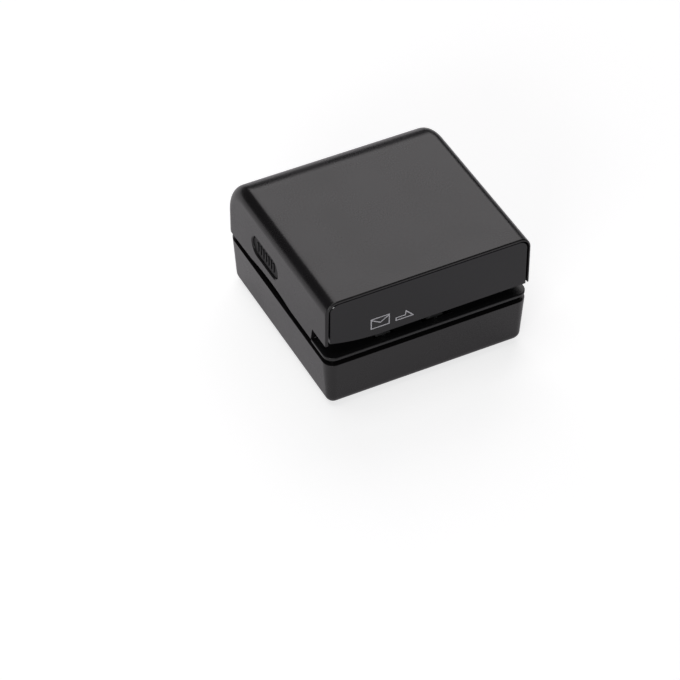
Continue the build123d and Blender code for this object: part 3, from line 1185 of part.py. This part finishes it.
# ---- lower rollers on sprung rockers ----
def rocker(x):
    """Fork that carries a lower roller in front of its pivot."""
    pivot_x = x + ROCKER_REACH
    ends = ((ROLLER_FRONT_Y - 0.3 - ROCKER_ARM, ROLLER_FRONT_Y - 0.3),
            (ROLLER_BACK_Y + 0.3, ROLLER_BACK_Y + 0.3 + ROCKER_ARM))
    fork = block(pivot_x + ROCKER_TAIL - ROCKER_PIVOT_R, pivot_x + ROCKER_TAIL, ends[0][0], ends[1][1],
                 ROCKER_Z - TAIL_HALF, ROCKER_Z + TAIL_HALF)
    for y0, y1 in ends:
        lean = degrees(atan2(ROCKER_DROP, ROCKER_REACH))
        span = hypot(ROCKER_REACH, ROCKER_DROP)
        bar = Pos(pivot_x, (y0 + y1) / 2, ROCKER_Z) * Rot(0, lean, 0) * Pos(-span / 2, 0, 0)
        arm = bar * Box(span, y1 - y0, 2.4)
        arm += rod_y(x, IDLER_ROLLER_Z, ROCKER_PIVOT_R, y0, y1)
        arm += rod_y(pivot_x, ROCKER_Z, ROCKER_PIVOT_R, y0, y1)
        arm += block(pivot_x, pivot_x + ROCKER_TAIL - 1, y0, y1, ROCKER_Z - TAIL_HALF, ROCKER_Z + TAIL_HALF)
        arm -= cut_rod_y(pivot_x, ROCKER_Z, SCREW_R + RUNNING, y0, y1)
        arm -= cut_rod_y(x, IDLER_ROLLER_Z, SCREW_R + SEAT, y0, y1)
        fork += arm
    return fork


def rocker_pins():
    """Pivot pins of both rockers, held in the deck's hangers."""
    front = ROLLER_FRONT_Y - 0.5 - ROCKER_ARM
    back = ROLLER_BACK_Y + 0.5 + ROCKER_ARM
    return [rod_y(x + ROCKER_REACH, ROCKER_Z, SCREW_R, front, back) for x in (FEED_X, KNIFE_X)]


def idler_roller(x):
    """Free lower roller."""
    roller = rod_y(x, IDLER_ROLLER_Z, IDLER_ROLLER_R, ROLLER_FRONT_Y, ROLLER_BACK_Y)
    roller = chamfer(roller.edges().filter_by(GeomType.CIRCLE), 0.4)
    return roller - cut_rod_y(x, IDLER_ROLLER_Z, SCREW_R + RUNNING, ROLLER_FRONT_Y, ROLLER_BACK_Y)


def idler_axle(x):
    return rod_y(x, IDLER_ROLLER_Z, SCREW_R, ROLLER_FRONT_Y - 0.4 - ROCKER_ARM, ROLLER_BACK_Y + 0.4
                 + ROCKER_ARM)


def rocker_springs():
    """Small coils under the deck, drawn as pressed by the rockers' tails at their full tilt."""
    springs = []
    wire_r = ROCKER_SPRING_WIRE / 2
    low_z = ROCKER_Z + TAIL_HALF + ROCKER_TAIL * sin(radians(ROCKER_TILT)) + RUNNING + wire_r
    length = DECK_UNDER_Z - wire_r - low_z
    middle_y = (ROLLER_FRONT_Y + ROLLER_BACK_Y) / 2
    for x in (FEED_X, KNIFE_X):
        base = Plane((x + ROCKER_REACH + ROCKER_SPRING_X, middle_y, low_z))
        path = base * Helix(length / ROCKER_SPRING_TURNS, length, ROCKER_SPRING_R)
        springs.append(sweep(Plane(path @ 0, z_dir=path % 0) * Circle(wire_r), path))
    return springs


# ---- trip switch ----

def trip_switch():
    """Small switch behind the fence, with the pin that the lever hangs on."""
    low_z = LEVER_PIVOT_Z - 0.6 * SWITCH_HEIGHT
    body = block(SWITCH_LEFT_X, SWITCH_LEFT_X + SWITCH_WIDTH, FRONT_PLATE_BACK_Y,
                 FRONT_PLATE_BACK_Y + SWITCH_DEPTH, low_z, low_z + SWITCH_HEIGHT)
    body += rod_x(LEVER_PIVOT_Y, LEVER_PIVOT_Z, LEVER_PIN_R, LEVER_X - LEVER_THICK / 2 - 0.6,
                  SWITCH_LEFT_X + 1)
    return body


def trip_lever():
    """Hanging lever whose finger reaches through the fence into the slot."""
    tip_y = FENCE_Y - LEVER_REACH
    low_z = DECK_TOP_Z + 1.8
    arm = outline((LEVER_PIVOT_Y - 1.6, LEVER_PIVOT_Z), (LEVER_PIVOT_Y + 1.6, LEVER_PIVOT_Z),
                  (LEVER_PIVOT_Y + 0.6, low_z), (tip_y + 0.8, low_z), (tip_y, low_z + 0.8),
                  (tip_y + 0.6, low_z + 1.8), (LEVER_PIVOT_Y - 1.6, low_z + 2.0))
    x0 = LEVER_X - LEVER_THICK / 2
    lever = prism_x(arm, x0, x0 + LEVER_THICK)
    lever += rod_x(LEVER_PIVOT_Y, LEVER_PIVOT_Z, 1.9, x0, x0 + LEVER_THICK)
    return lever - rod_x(LEVER_PIVOT_Y, LEVER_PIVOT_Z, LEVER_PIN_R + RUNNING, x0 - 1, x0 + LEVER_THICK + 1)


# ---- control board ----
def control_board():
    """Circuit board on four posts."""
    z0 = BOARD_TOP_Z - BOARD_THICK
    board = block(BOARD_LEFT_X, BOARD_RIGHT_X, BOARD_FRONT_Y, BOARD_BACK_Y, z0, BOARD_TOP_Z)
    for x, y in BOARD_SPOTS:
        board -= rod_z(x, y, SCREW_R + RUNNING, z0 - 1, BOARD_TOP_Z + 1)
    return board


def board_screws():
    return [rod_z(x, y, BOARD_SCREW_HEAD_R, BOARD_TOP_Z, BOARD_TOP_Z + BOARD_SCREW_HEAD)
            + rod_z(x, y, SCREW_R, BOARD_TOP_Z - BOARD_SCREW_REACH, BOARD_TOP_Z) for x, y in BOARD_SPOTS]


def on_board(place, size):
    """Box that stands on the board, its place measured from the board's front left corner."""
    x0 = BOARD_LEFT_X + place[0]
    y0 = BOARD_FRONT_Y + place[1]
    return block(x0, x0 + size[0], y0, y0 + size[1], BOARD_TOP_Z, BOARD_TOP_Z + size[2])


def board_components():
    """Capacitor, relay, chip and connector on the board."""
    chip = on_board(CHIP_PLACE, CHIP_SIZE)
    relay = on_board(RELAY_PLACE, RELAY_SIZE)
    capacitor = rod_z(BOARD_LEFT_X + CAPACITOR_PLACE[0], BOARD_FRONT_Y + CAPACITOR_PLACE[1], CAPACITOR_R,
                      BOARD_TOP_Z, BOARD_TOP_Z + CAPACITOR_HEIGHT)
    inside = [size - 2 * CONNECTOR_WALL for size in CONNECTOR_SIZE[:2]]
    corner = [place + CONNECTOR_WALL for place in CONNECTOR_PLACE]
    hollow = Pos(0, 0, CONNECTOR_FLOOR) * on_board(corner, inside + [CONNECTOR_SIZE[2]])
    connector = on_board(CONNECTOR_PLACE, CONNECTOR_SIZE) - hollow
    return [chip, relay, capacitor, connector]


NODES = {
    "base_tub": base_tub,
    "base_deck": base_deck,
    "rubber_feet": rubber_feet,
    "case_screws": case_screws,
    "battery_cells": battery_cells,
    "battery_contacts_front": battery_contacts_front,
    "battery_contacts_rear": battery_contacts_rear,
    "battery_door": battery_door,
    "front_panel": front_panel,
    "panel_screws": panel_screws,
    "top_cover": top_cover,
    "hinge_pins": hinge_pins,
    "latch_catch": latch_catch,
    "latch_button": latch_button,
    "latch_retainer": latch_retainer,
    "latch_screws": latch_screws,
    "latch_spring": latch_spring,
    "chassis_front_plate": chassis_front_plate,
    "chassis_rear_plate": chassis_rear_plate,
    "chassis_spacers": chassis_spacers,
    "spacer_screws": spacer_screws,
    "chassis_screws": chassis_screws,
    "front_bushes": front_bushes,
    "rear_bushes": rear_bushes,
    "feed_shaft": feed_shaft,
    "feed_roller_tyre": lambda: roller_tyre(FEED_X),
    "feed_roller_hub": lambda: roller_hub(FEED_X),
    "feed_gear": feed_gear,
    "knife_shaft": knife_shaft,
    "exit_roller_tyre": lambda: roller_tyre(KNIFE_X),
    "exit_roller_hub": lambda: roller_hub(KNIFE_X),
    "knife_collars": knife_collars,
    "upper_knife": lambda: knife_disc(SHAFT_Z, UPPER_KNIFE_FRONT_Y),
    "knife_gear": knife_gear,
    "drive_gear": drive_gear,
    "lower_knife_shaft": lower_knife_shaft,
    "lower_knife": lambda: knife_disc(LOWER_SHAFT_Z, LOWER_KNIFE_FRONT_Y),
    "lower_knife_nut": lower_knife_nut,
    "lower_knife_gear": lower_knife_gear,
    "idler_gear": idler_gear,
    "compound_gear": compound_gear,
    "gear_axles": gear_axles,
    "motor_can": motor_can,
    "motor_end_cap": motor_end_cap,
    "motor_terminals": motor_terminals,
    "motor_screws": motor_screws,
    "motor_shaft": motor_shaft,
    "motor_pinion": motor_pinion,
    "rocker_in": lambda: rocker(FEED_X),
    "rocker_out": lambda: rocker(KNIFE_X),
    "rocker_pins": rocker_pins,
    "idler_roller_in": lambda: idler_roller(FEED_X),
    "idler_roller_out": lambda: idler_roller(KNIFE_X),
    "idler_axle_in": lambda: idler_axle(FEED_X),
    "idler_axle_out": lambda: idler_axle(KNIFE_X),
    "rocker_springs": rocker_springs,
    "trip_switch": trip_switch,
    "trip_lever": trip_lever,
    "control_board": control_board,
    "board_parts": lambda: board_components() + board_screws(),
}


def main():
    os.makedirs("parts", exist_ok=True)
    for name, make in NODES.items():
        shape = make()
        solids = []
        for piece in (shape if isinstance(shape, list) else [shape]):
            solids += piece.solids()
        solid = solids[0] if len(solids) == 1 else Compound(children=solids)
        export_step(solid, f"parts/{name}.step")


main()
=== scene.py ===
import json
from math import radians

import bpy
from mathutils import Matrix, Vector


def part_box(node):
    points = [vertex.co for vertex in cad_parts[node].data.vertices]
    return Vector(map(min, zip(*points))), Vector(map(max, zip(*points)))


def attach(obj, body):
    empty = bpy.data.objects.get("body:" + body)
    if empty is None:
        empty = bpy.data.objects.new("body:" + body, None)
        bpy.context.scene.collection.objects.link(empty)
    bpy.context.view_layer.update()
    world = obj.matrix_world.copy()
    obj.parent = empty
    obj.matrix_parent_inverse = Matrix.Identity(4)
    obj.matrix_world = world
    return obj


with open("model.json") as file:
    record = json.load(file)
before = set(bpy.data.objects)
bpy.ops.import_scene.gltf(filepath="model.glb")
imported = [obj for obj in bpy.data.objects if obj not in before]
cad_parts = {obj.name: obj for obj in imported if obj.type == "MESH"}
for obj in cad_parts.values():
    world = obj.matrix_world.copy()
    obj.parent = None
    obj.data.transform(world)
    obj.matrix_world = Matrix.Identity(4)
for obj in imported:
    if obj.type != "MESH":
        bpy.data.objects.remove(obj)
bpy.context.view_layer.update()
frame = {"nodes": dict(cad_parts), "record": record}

MM = 0.001
WHITE = (1, 1, 1, 1)
BLACK = (0, 0, 0, 1)

# ---- the camera: a long lens that looks down from the front left ----
CAMERA_PLACE = (-0.47634, -0.90711, 0.93065)
CAMERA_TURN = (47.122, 0.0, -26.808)
LENS = 160.26
SENSOR = 36.0
NEAREST = 0.05


def set_camera():
    """The view of the photograph, in metres and degrees."""
    data = bpy.data.cameras.new("view")
    data.lens = LENS
    data.sensor_width = SENSOR
    data.clip_start = NEAREST
    camera = bpy.data.objects.new("view", data)
    camera.location = CAMERA_PLACE
    camera.rotation_euler = [radians(a) for a in CAMERA_TURN]
    bpy.context.scene.collection.objects.link(camera)
    bpy.context.scene.camera = camera


# ---- light and floor ----
AIM = (0, 0, 0.03)
SOFTBOXES = (
    # name, place, width, height, power in watts, tint
    ("box_over_back", (0.60, 1.20, 1.32), 1.5, 1.3, 10.2, (1.0, 0.97, 0.985)),
    ("box_left_front", (-1.15, -1.15, 0.66), 0.7, 0.4, 9.0, (1, 1, 1)),
    ("box_overhead", (-0.35, 0.05, 1.70), 0.9, 0.9, 7.0, (1, 1, 1)),
)
ROOM_FILL = (0.05, 0.05, 0.055, 1)
FLOOR_SIZE = 8.0
FLOOR_GREY = (0.55, 0.55, 0.55)
FLOOR_ROUGHNESS = 0.8
FLOOR_GLOW = 0.71
REFLECTED_GLOW = (0.425, 0.405, 0.425, 1)


def softbox(name, place, width, height, power, tint):
    """Large flat lamp that faces the machine."""
    data = bpy.data.lights.new(name, "AREA")
    data.shape = "RECTANGLE"
    data.size = width
    data.size_y = height
    data.energy = power
    data.color = tint
    lamp = bpy.data.objects.new(name, data)
    lamp.location = place
    lamp.rotation_euler = (Vector(AIM) - Vector(place)).to_track_quat("-Z", "Y").to_euler()
    bpy.context.scene.collection.objects.link(lamp)


def set_light():
    """One large box over the back right, two small ones, and a dim room behind a white backdrop."""
    for box in SOFTBOXES:
        softbox(*box)
    world = bpy.data.worlds.new("room")
    bpy.context.scene.world = world
    world.use_nodes = True
    nodes = world.node_tree.nodes
    links = world.node_tree.links
    fill = nodes["Background"]
    fill.inputs["Color"].default_value = ROOM_FILL
    backdrop = nodes.new("ShaderNodeBackground")
    backdrop.inputs["Color"].default_value = WHITE
    seen = nodes.new("ShaderNodeLightPath")
    mix = nodes.new("ShaderNodeMixShader")
    links.new(seen.outputs["Is Camera Ray"], mix.inputs["Fac"])
    links.new(fill.outputs["Background"], mix.inputs[1])
    links.new(backdrop.outputs["Background"], mix.inputs[2])
    links.new(mix.outputs["Shader"], nodes["World Output"].inputs["Surface"])
    bpy.context.scene.view_settings.view_transform = "Standard"


# ---- materials ----
class Flow:
    """A value that runs through a finish's nodes, with arithmetic that adds Math nodes."""

    def __init__(self, finish, socket):
        self.finish = finish
        self.socket = socket

    def maths(self, operation, first, second=None):
        """A Math node on one value or two."""
        sockets = {0: first} if second is None else {0: first, 1: second}
        return self.finish.node("Math", {"operation": operation}, sockets)

    def __add__(self, other):
        return self.maths("ADD", self, other)

    def __radd__(self, other):
        return self.maths("ADD", other, self)

    def __sub__(self, other):
        return self.maths("SUBTRACT", self, other)

    def __rsub__(self, other):
        return self.maths("SUBTRACT", other, self)

    def __mul__(self, other):
        return self.maths("MULTIPLY", self, other)

    def __rmul__(self, other):
        return self.maths("MULTIPLY", other, self)

    def __truediv__(self, other):
        return self.maths("DIVIDE", self, other)

    def __gt__(self, other):
        return self.maths("GREATER_THAN", self, other)

    def __lt__(self, other):
        return self.maths("LESS_THAN", self, other)

    def whole(self):
        return self.maths("FLOOR", self)

    def rest_of(self, step):
        return self.maths("MODULO", self, step)

    def or_more(self, other):
        """The larger of two values."""
        return self.maths("MAXIMUM", self, other)

    def ramp(self, low, high, to_low=0.0, to_high=1.0):
        """Runs from to_low at low to to_high at high, and stays there."""
        sockets = {"Value": self, "From Min": low, "From Max": high, "To Min": to_low, "To Max": to_high}
        return self.finish.node("MapRange", {"clamp": True}, sockets)


MIX_FACTOR, MIX_FIRST, MIX_SECOND, MIX_COLOUR_OUT = 0, 6, 7, 2
BEVEL_SAMPLES = 6


class Finish:
    """One surface finish: a principled shader and the nodes that feed it."""

    def __init__(self, name, colour, roughness, metallic=0.0, coat=0.0, coat_roughness=0.1):
        self.material = bpy.data.materials.new(name)
        self.material.use_nodes = True
        self.tree = self.material.node_tree
        self.shader = self.tree.nodes["Principled BSDF"]
        self.set("Base Color", (*colour, 1))
        self.set("Roughness", roughness)
        self.set("Metallic", metallic)
        self.set("Coat Weight", coat)
        self.shader.inputs["Coat Roughness"].default_value = coat_roughness
        self.place = None

    def plug(self, socket, value):
        """Links a flow to the socket, or sets a constant on it."""
        if isinstance(value, Flow):
            self.tree.links.new(value.socket, socket)
        else:
            socket.default_value = value

    def set(self, name, value):
        self.plug(self.shader.inputs[name], value)

    def node(self, kind, settings, sockets, output=0):
        """A new shader node, with its settings and what feeds it."""
        made = self.tree.nodes.new("ShaderNode" + kind)
        for key, value in settings.items():
            setattr(made, key, value)
        for key, value in sockets.items():
            self.plug(made.inputs[key], value)
        return Flow(self, made.outputs[output])

    def where(self):
        """Place on the piece, in metres."""
        if self.place is None:
            self.place = self.node("TexCoord", {}, {}, "Object")
        return self.place

    def axis(self, letter):
        """Place along X, Y or Z, in metres."""
        return self.node("SeparateXYZ", {}, {"Vector": self.where()}, letter)

    def stretched(self, x, y, z):
        """Place on the piece, scaled along each axis."""
        return self.node("Mapping", {}, {"Vector": self.where(), "Scale": (x, y, z)})

    def noise(self, grain, detail=2.0, rough=0.5, place=None):
        """Soft noise whose lumps are about grain metres across."""
        sockets = {"Vector": place or self.where(), "Scale": 1 / grain, "Detail": detail,
                   "Roughness": rough}
        return self.node("TexNoise", {}, sockets, "Fac")

    def blend(self, factor, first, second):
        """Colour between first and second, on the Mix node's colour sockets."""
        sockets = {MIX_FACTOR: factor, MIX_FIRST: first, MIX_SECOND: second}
        return self.node("Mix", {"data_type": "RGBA"}, sockets, MIX_COLOUR_OUT)

    def two_tone(self, factor, colour, second):
        """Base colour that runs from colour to second."""
        self.set("Base Color", self.blend(factor, (*colour, 1), (*second, 1)))

    def relief(self, height, depth, edge=0.25 * MM):
        """Fine surface relief on slightly broken edges."""
        soft = self.node("Bevel", {"samples": BEVEL_SAMPLES}, {"Radius": edge})
        sockets = {"Height": height, "Distance": depth, "Strength": 1.0, "Normal": soft}
        self.set("Normal", self.node("Bump", {}, sockets))
        return self


SPARK_GRAIN = 0.5 * MM
FLOW_MARK = 30 * MM
GLOSS_SPREAD = 0.1
GRAIN_GLOSS = 0.08
GRAIN_PALE = 1.5


def moulded(name, colour, roughness, depth=0.012 * MM):
    """Moulded plastic: fine spark-eroded grain, faint flow marks and small changes of gloss."""
    finish = Finish(name, colour, roughness, coat_roughness=0.12)
    flow = finish.noise(FLOW_MARK, 2.0)
    fine = finish.noise(SPARK_GRAIN, 3.0, 0.6)
    tone = flow.ramp(0.3, 0.7, 1 - GLOSS_SPREAD, 1 + GLOSS_SPREAD)
    finish.two_tone(tone * 0.5 * fine, colour, [c * GRAIN_PALE for c in colour])
    finish.set("Roughness", roughness * tone + (fine - 0.5) * GRAIN_GLOSS)
    return finish.relief(fine, depth)


RUBBER_GRAIN = 0.25 * MM
DUST_PATCH = 3 * MM
RUBBER_ROUGHNESS = 0.72


def rubber(name, colour):
    """Ground rubber: dull grain with dust in patches."""
    finish = Finish(name, colour, RUBBER_ROUGHNESS)
    fine = finish.noise(RUBBER_GRAIN, 3.0, 0.7)
    dust = finish.noise(DUST_PATCH, 4.0).ramp(0.45, 0.8)
    finish.two_tone(dust, colour, [c * 1.8 + 0.01 for c in colour])
    finish.set("Roughness", fine * 0.15 + RUBBER_ROUGHNESS)
    return finish.relief(fine, 0.03 * MM, 0.15 * MM)


ROLLING_STREAK = 0.4 * MM
ZINC_SPANGLE = 6 * MM
ZINC_DULL = 0.72


def sheet_steel(name, colour, roughness):
    """Rolled sheet: fine streaks along X and the cloudy spangle of zinc."""
    finish = Finish(name, colour, roughness, metallic=1.0)
    streaks = finish.noise(ROLLING_STREAK, 2.0, 0.6, finish.stretched(0.03, 1.0, 1.0))
    cloud = finish.noise(ZINC_SPANGLE, 3.0)
    finish.two_tone(cloud.ramp(0.35, 0.7), colour, [c * ZINC_DULL for c in colour])
    finish.set("Roughness", streaks * 0.2 + roughness * 0.6 + cloud * 0.12)
    return finish.relief(streaks, 0.004 * MM, 0.12 * MM)


TURNING_RING = 0.15 * MM
STEEL_CLOUD = 4 * MM
STEEL_DULL = 0.8


def turned_steel(name, colour, roughness):
    """Ground or turned bar: tight rings along its length, which lies on Y."""
    finish = Finish(name, colour, roughness, metallic=1.0)
    rings = finish.noise(TURNING_RING, 2.0, 0.5, finish.stretched(0.05, 1.0, 0.05))
    cloud = finish.noise(STEEL_CLOUD, 2.0)
    finish.two_tone(cloud.ramp(0.4, 0.7), colour, [c * STEEL_DULL for c in colour])
    finish.set("Roughness", roughness + rings * 0.12 - 0.04)
    return finish.relief(rings, 0.003 * MM, 0.1 * MM)


PLATING_CLOUD = 1.2 * MM
PLATING_DULL = 0.7


def plated(name, colour, roughness):
    """Bright plating on small parts, with slight clouding."""
    finish = Finish(name, colour, roughness, metallic=1.0)
    cloud = finish.noise(PLATING_CLOUD, 4.0)
    finish.two_tone(cloud.ramp(0.45, 0.8), colour, [c * PLATING_DULL for c in colour])
    finish.set("Roughness", roughness + cloud * 0.15)
    return finish.relief(cloud, 0.004 * MM, 0.1 * MM)


# The four cells lie side by side, every second one turned end for end.
CELL_PITCH = 14.5 * MM
CELL_LEFT = -2 * CELL_PITCH
CELL_MIDDLE_Y = 10.0 * MM
CELL_BAND = 10.5 * MM
CELL_NUB = 24.3 * MM
CELL_FOOT = -24.9 * MM
SLEEVE_GREY = (0.045, 0.047, 0.052)
SLEEVE_COPPER = (0.5, 0.2, 0.08)
CELL_METAL = (0.7, 0.7, 0.7)
BAND_METAL = 0.6


def cell_sleeve(name):
    """Printed sleeve: copper band at the positive end, dark grey below, bare metal nub."""
    finish = Finish(name, SLEEVE_GREY, 0.3, coat=0.4)
    index = ((finish.axis("X") - CELL_LEFT) / CELL_PITCH).whole()
    turned = index.rest_of(2.0)
    along = (finish.axis("Y") - CELL_MIDDLE_Y) * (1 - 2 * turned)
    band = along > CELL_BAND
    nub = along > CELL_NUB
    foot = along < CELL_FOOT
    colour = finish.blend(band, (*SLEEVE_GREY, 1), (*SLEEVE_COPPER, 1))
    metal = nub.or_more(foot)
    finish.set("Base Color", finish.blend(metal, colour, (*CELL_METAL, 1)))
    fine = finish.noise(0.6 * MM, 3.0)
    finish.set("Metallic", metal.or_more(band * BAND_METAL))
    finish.set("Roughness", fine * 0.15 + 0.24)
    return finish.relief(fine, 0.004 * MM, 0.3 * MM)


MASK_GREEN = (0.018, 0.11, 0.04)
TRACK_GREEN = (0.05, 0.24, 0.09)
TRACK_GRID = {"Scale": 90.0, "Mortar Size": 0.08, "Brick Width": 0.6, "Row Height": 0.25,
              "Color1": BLACK, "Color2": BLACK, "Mortar": WHITE}


def circuit_board(name):
    """Green solder mask, paler and raised where tracks run under it."""
    finish = Finish(name, MASK_GREEN, 0.3, coat=0.3)
    grid = finish.node("TexBrick", {"offset": 0.5}, {"Vector": finish.where(), **TRACK_GRID}, "Fac")
    finish.two_tone(grid, MASK_GREEN, TRACK_GREEN)
    fine = finish.noise(0.8 * MM, 3.0)
    finish.set("Roughness", fine * 0.12 + 0.25)
    return finish.relief(grid, 0.02 * MM, 0.1 * MM)


# The button is duller than the casing round it.
BUTTON_SHINE = 0.16


def make_finishes():
    """One finish for each material slot of the record."""
    return {
        "casing": moulded("satin_black_shell", (0.0075, 0.0068, 0.0072), 0.27, depth=0.006 * MM),
        "panel": moulded("polished_black_face", (0.004, 0.004, 0.0052), 0.17, depth=0.003 * MM),
        "deck": moulded("matt_black_deck", (0.006, 0.006, 0.0065), 0.34, depth=0.01 * MM),
        "button": moulded("dull_black_button", (0.003, 0.003, 0.0035), 0.42, depth=0.004 * MM),
        "rubber": rubber("dark_rubber", (0.025, 0.025, 0.026)),
        "steel_plate": sheet_steel("zinc_sheet", (0.60, 0.61, 0.63), 0.42),
        "bright_steel": turned_steel("ground_bar", (0.68, 0.68, 0.69), 0.26),
        "blade_steel": turned_steel("polished_blade", (0.76, 0.77, 0.78), 0.18),
        "screw_zinc": plated("bright_zinc", (0.62, 0.63, 0.62), 0.26),
        "spring_steel": plated("nickel_wire", (0.68, 0.67, 0.64), 0.22),
        "brass": turned_steel("sintered_brass", (0.72, 0.53, 0.24), 0.42),
        "nylon": moulded("natural_nylon", (0.70, 0.68, 0.60), 0.5, depth=0.01 * MM),
        "motor_can": sheet_steel("drawn_can", (0.58, 0.59, 0.60), 0.34),
        "motor_cap": moulded("white_cap", (0.62, 0.61, 0.57), 0.5),
        "cell_wrap": cell_sleeve("cell_sleeve"),
        "board": circuit_board("green_board"),
        "board_parts": moulded("component_cases", (0.02, 0.02, 0.022), 0.45),
    }


def dress_nodes(finishes):
    """Gives every CAD node the finish of its slot."""
    finishes["button"].set("Specular IOR Level", BUTTON_SHINE)
    for part in frame["record"]["subparts"]:
        obj = frame["nodes"][part["node"]]
        obj.data.materials.clear()
        obj.data.materials.append(finishes[part["material_slot"]].material)


def lay_floor():
    """Pale table that glows a little, dimmer in reflections, and can be looked through from below."""
    bpy.ops.object.select_all(action="DESELECT")
    bpy.ops.mesh.primitive_plane_add(size=FLOOR_SIZE, location=(0, 0, 0))
    floor = bpy.context.object
    floor.name = "floor"
    finish = Finish("pale_floor", FLOOR_GREY, FLOOR_ROUGHNESS)
    seen = finish.node("LightPath", {}, {}, "Is Camera Ray")
    finish.set("Emission Color", finish.blend(seen, REFLECTED_GLOW, WHITE))
    underside = finish.node("NewGeometry", {}, {}, "Backfacing")
    finish.set("Alpha", 1 - underside)
    finish.set("Emission Strength", FLOOR_GLOW)
    floor.data.materials.append(finish.material)


# ---- printed signs on the front panel, (x, z) corners in millimetres ----
SIGN_LINE = 0.5
SIGN_FILM = 0.04
SIGN_SINK = 0.02
SILVER_INK = (0.62, 0.62, 0.65)
INK_METAL = 0.2
ENVELOPE = [(-28.4, 38.9), (-19.1, 38.9), (-19.1, 44.8), (-28.4, 44.8)]
ENVELOPE_FLAP = [(-27.9, 44.35), (-27.9, 43.75), (-23.7, 41.2),
                 (-19.6, 43.75), (-19.6, 44.35), (-23.7, 41.8)]
HALF_ARROW = [(-16.2, 39.1), (-7.0, 39.1), (-11.25, 43.7), (-11.6, 41.1), (-16.2, 41.1)]


def printed_sign(name, corners, ring, finish):
    """Thin printed film on the panel's face: a closed line inside the corners, or the filled shape."""
    face_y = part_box("front_panel")[0][1]
    bpy.ops.object.select_all(action="DESELECT")
    bpy.ops.mesh.primitive_circle_add(vertices=len(corners), radius=1, fill_type="NGON")
    sign = bpy.context.object
    sign.name = name
    for vertex, (x, z) in zip(sign.data.vertices, corners):
        vertex.co = (x * MM, face_y + SIGN_SINK * MM, z * MM)
    bpy.ops.object.mode_set(mode="EDIT")
    bpy.ops.mesh.select_all(action="SELECT")
    if ring:
        bpy.ops.mesh.inset(thickness=SIGN_LINE * MM, use_even_offset=True)
        bpy.ops.mesh.delete(type="ONLY_FACE")
        bpy.ops.mesh.select_all(action="SELECT")
    thickness = (SIGN_SINK + SIGN_FILM) * MM
    bpy.ops.mesh.extrude_region_move(TRANSFORM_OT_translate={"value": (0, -thickness, 0)})
    bpy.ops.mesh.select_all(action="SELECT")
    bpy.ops.mesh.normals_make_consistent(inside=False)
    bpy.ops.object.mode_set(mode="OBJECT")
    sign.data.materials.append(finish.material)
    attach(sign, "root")


def print_signs():
    """Generic outline signs: an envelope with its flap, and an arrow along the way of the letter."""
    silver = plated("silver_print", SILVER_INK, 0.42)
    silver.set("Metallic", INK_METAL)
    printed_sign("sign_envelope", ENVELOPE, True, silver)
    printed_sign("sign_envelope_flap", ENVELOPE_FLAP, False, silver)
    printed_sign("sign_half_arrow", HALF_ARROW, True, silver)


set_camera()
set_light()
lay_floor()
finishes = make_finishes()
dress_nodes(finishes)
print_signs()
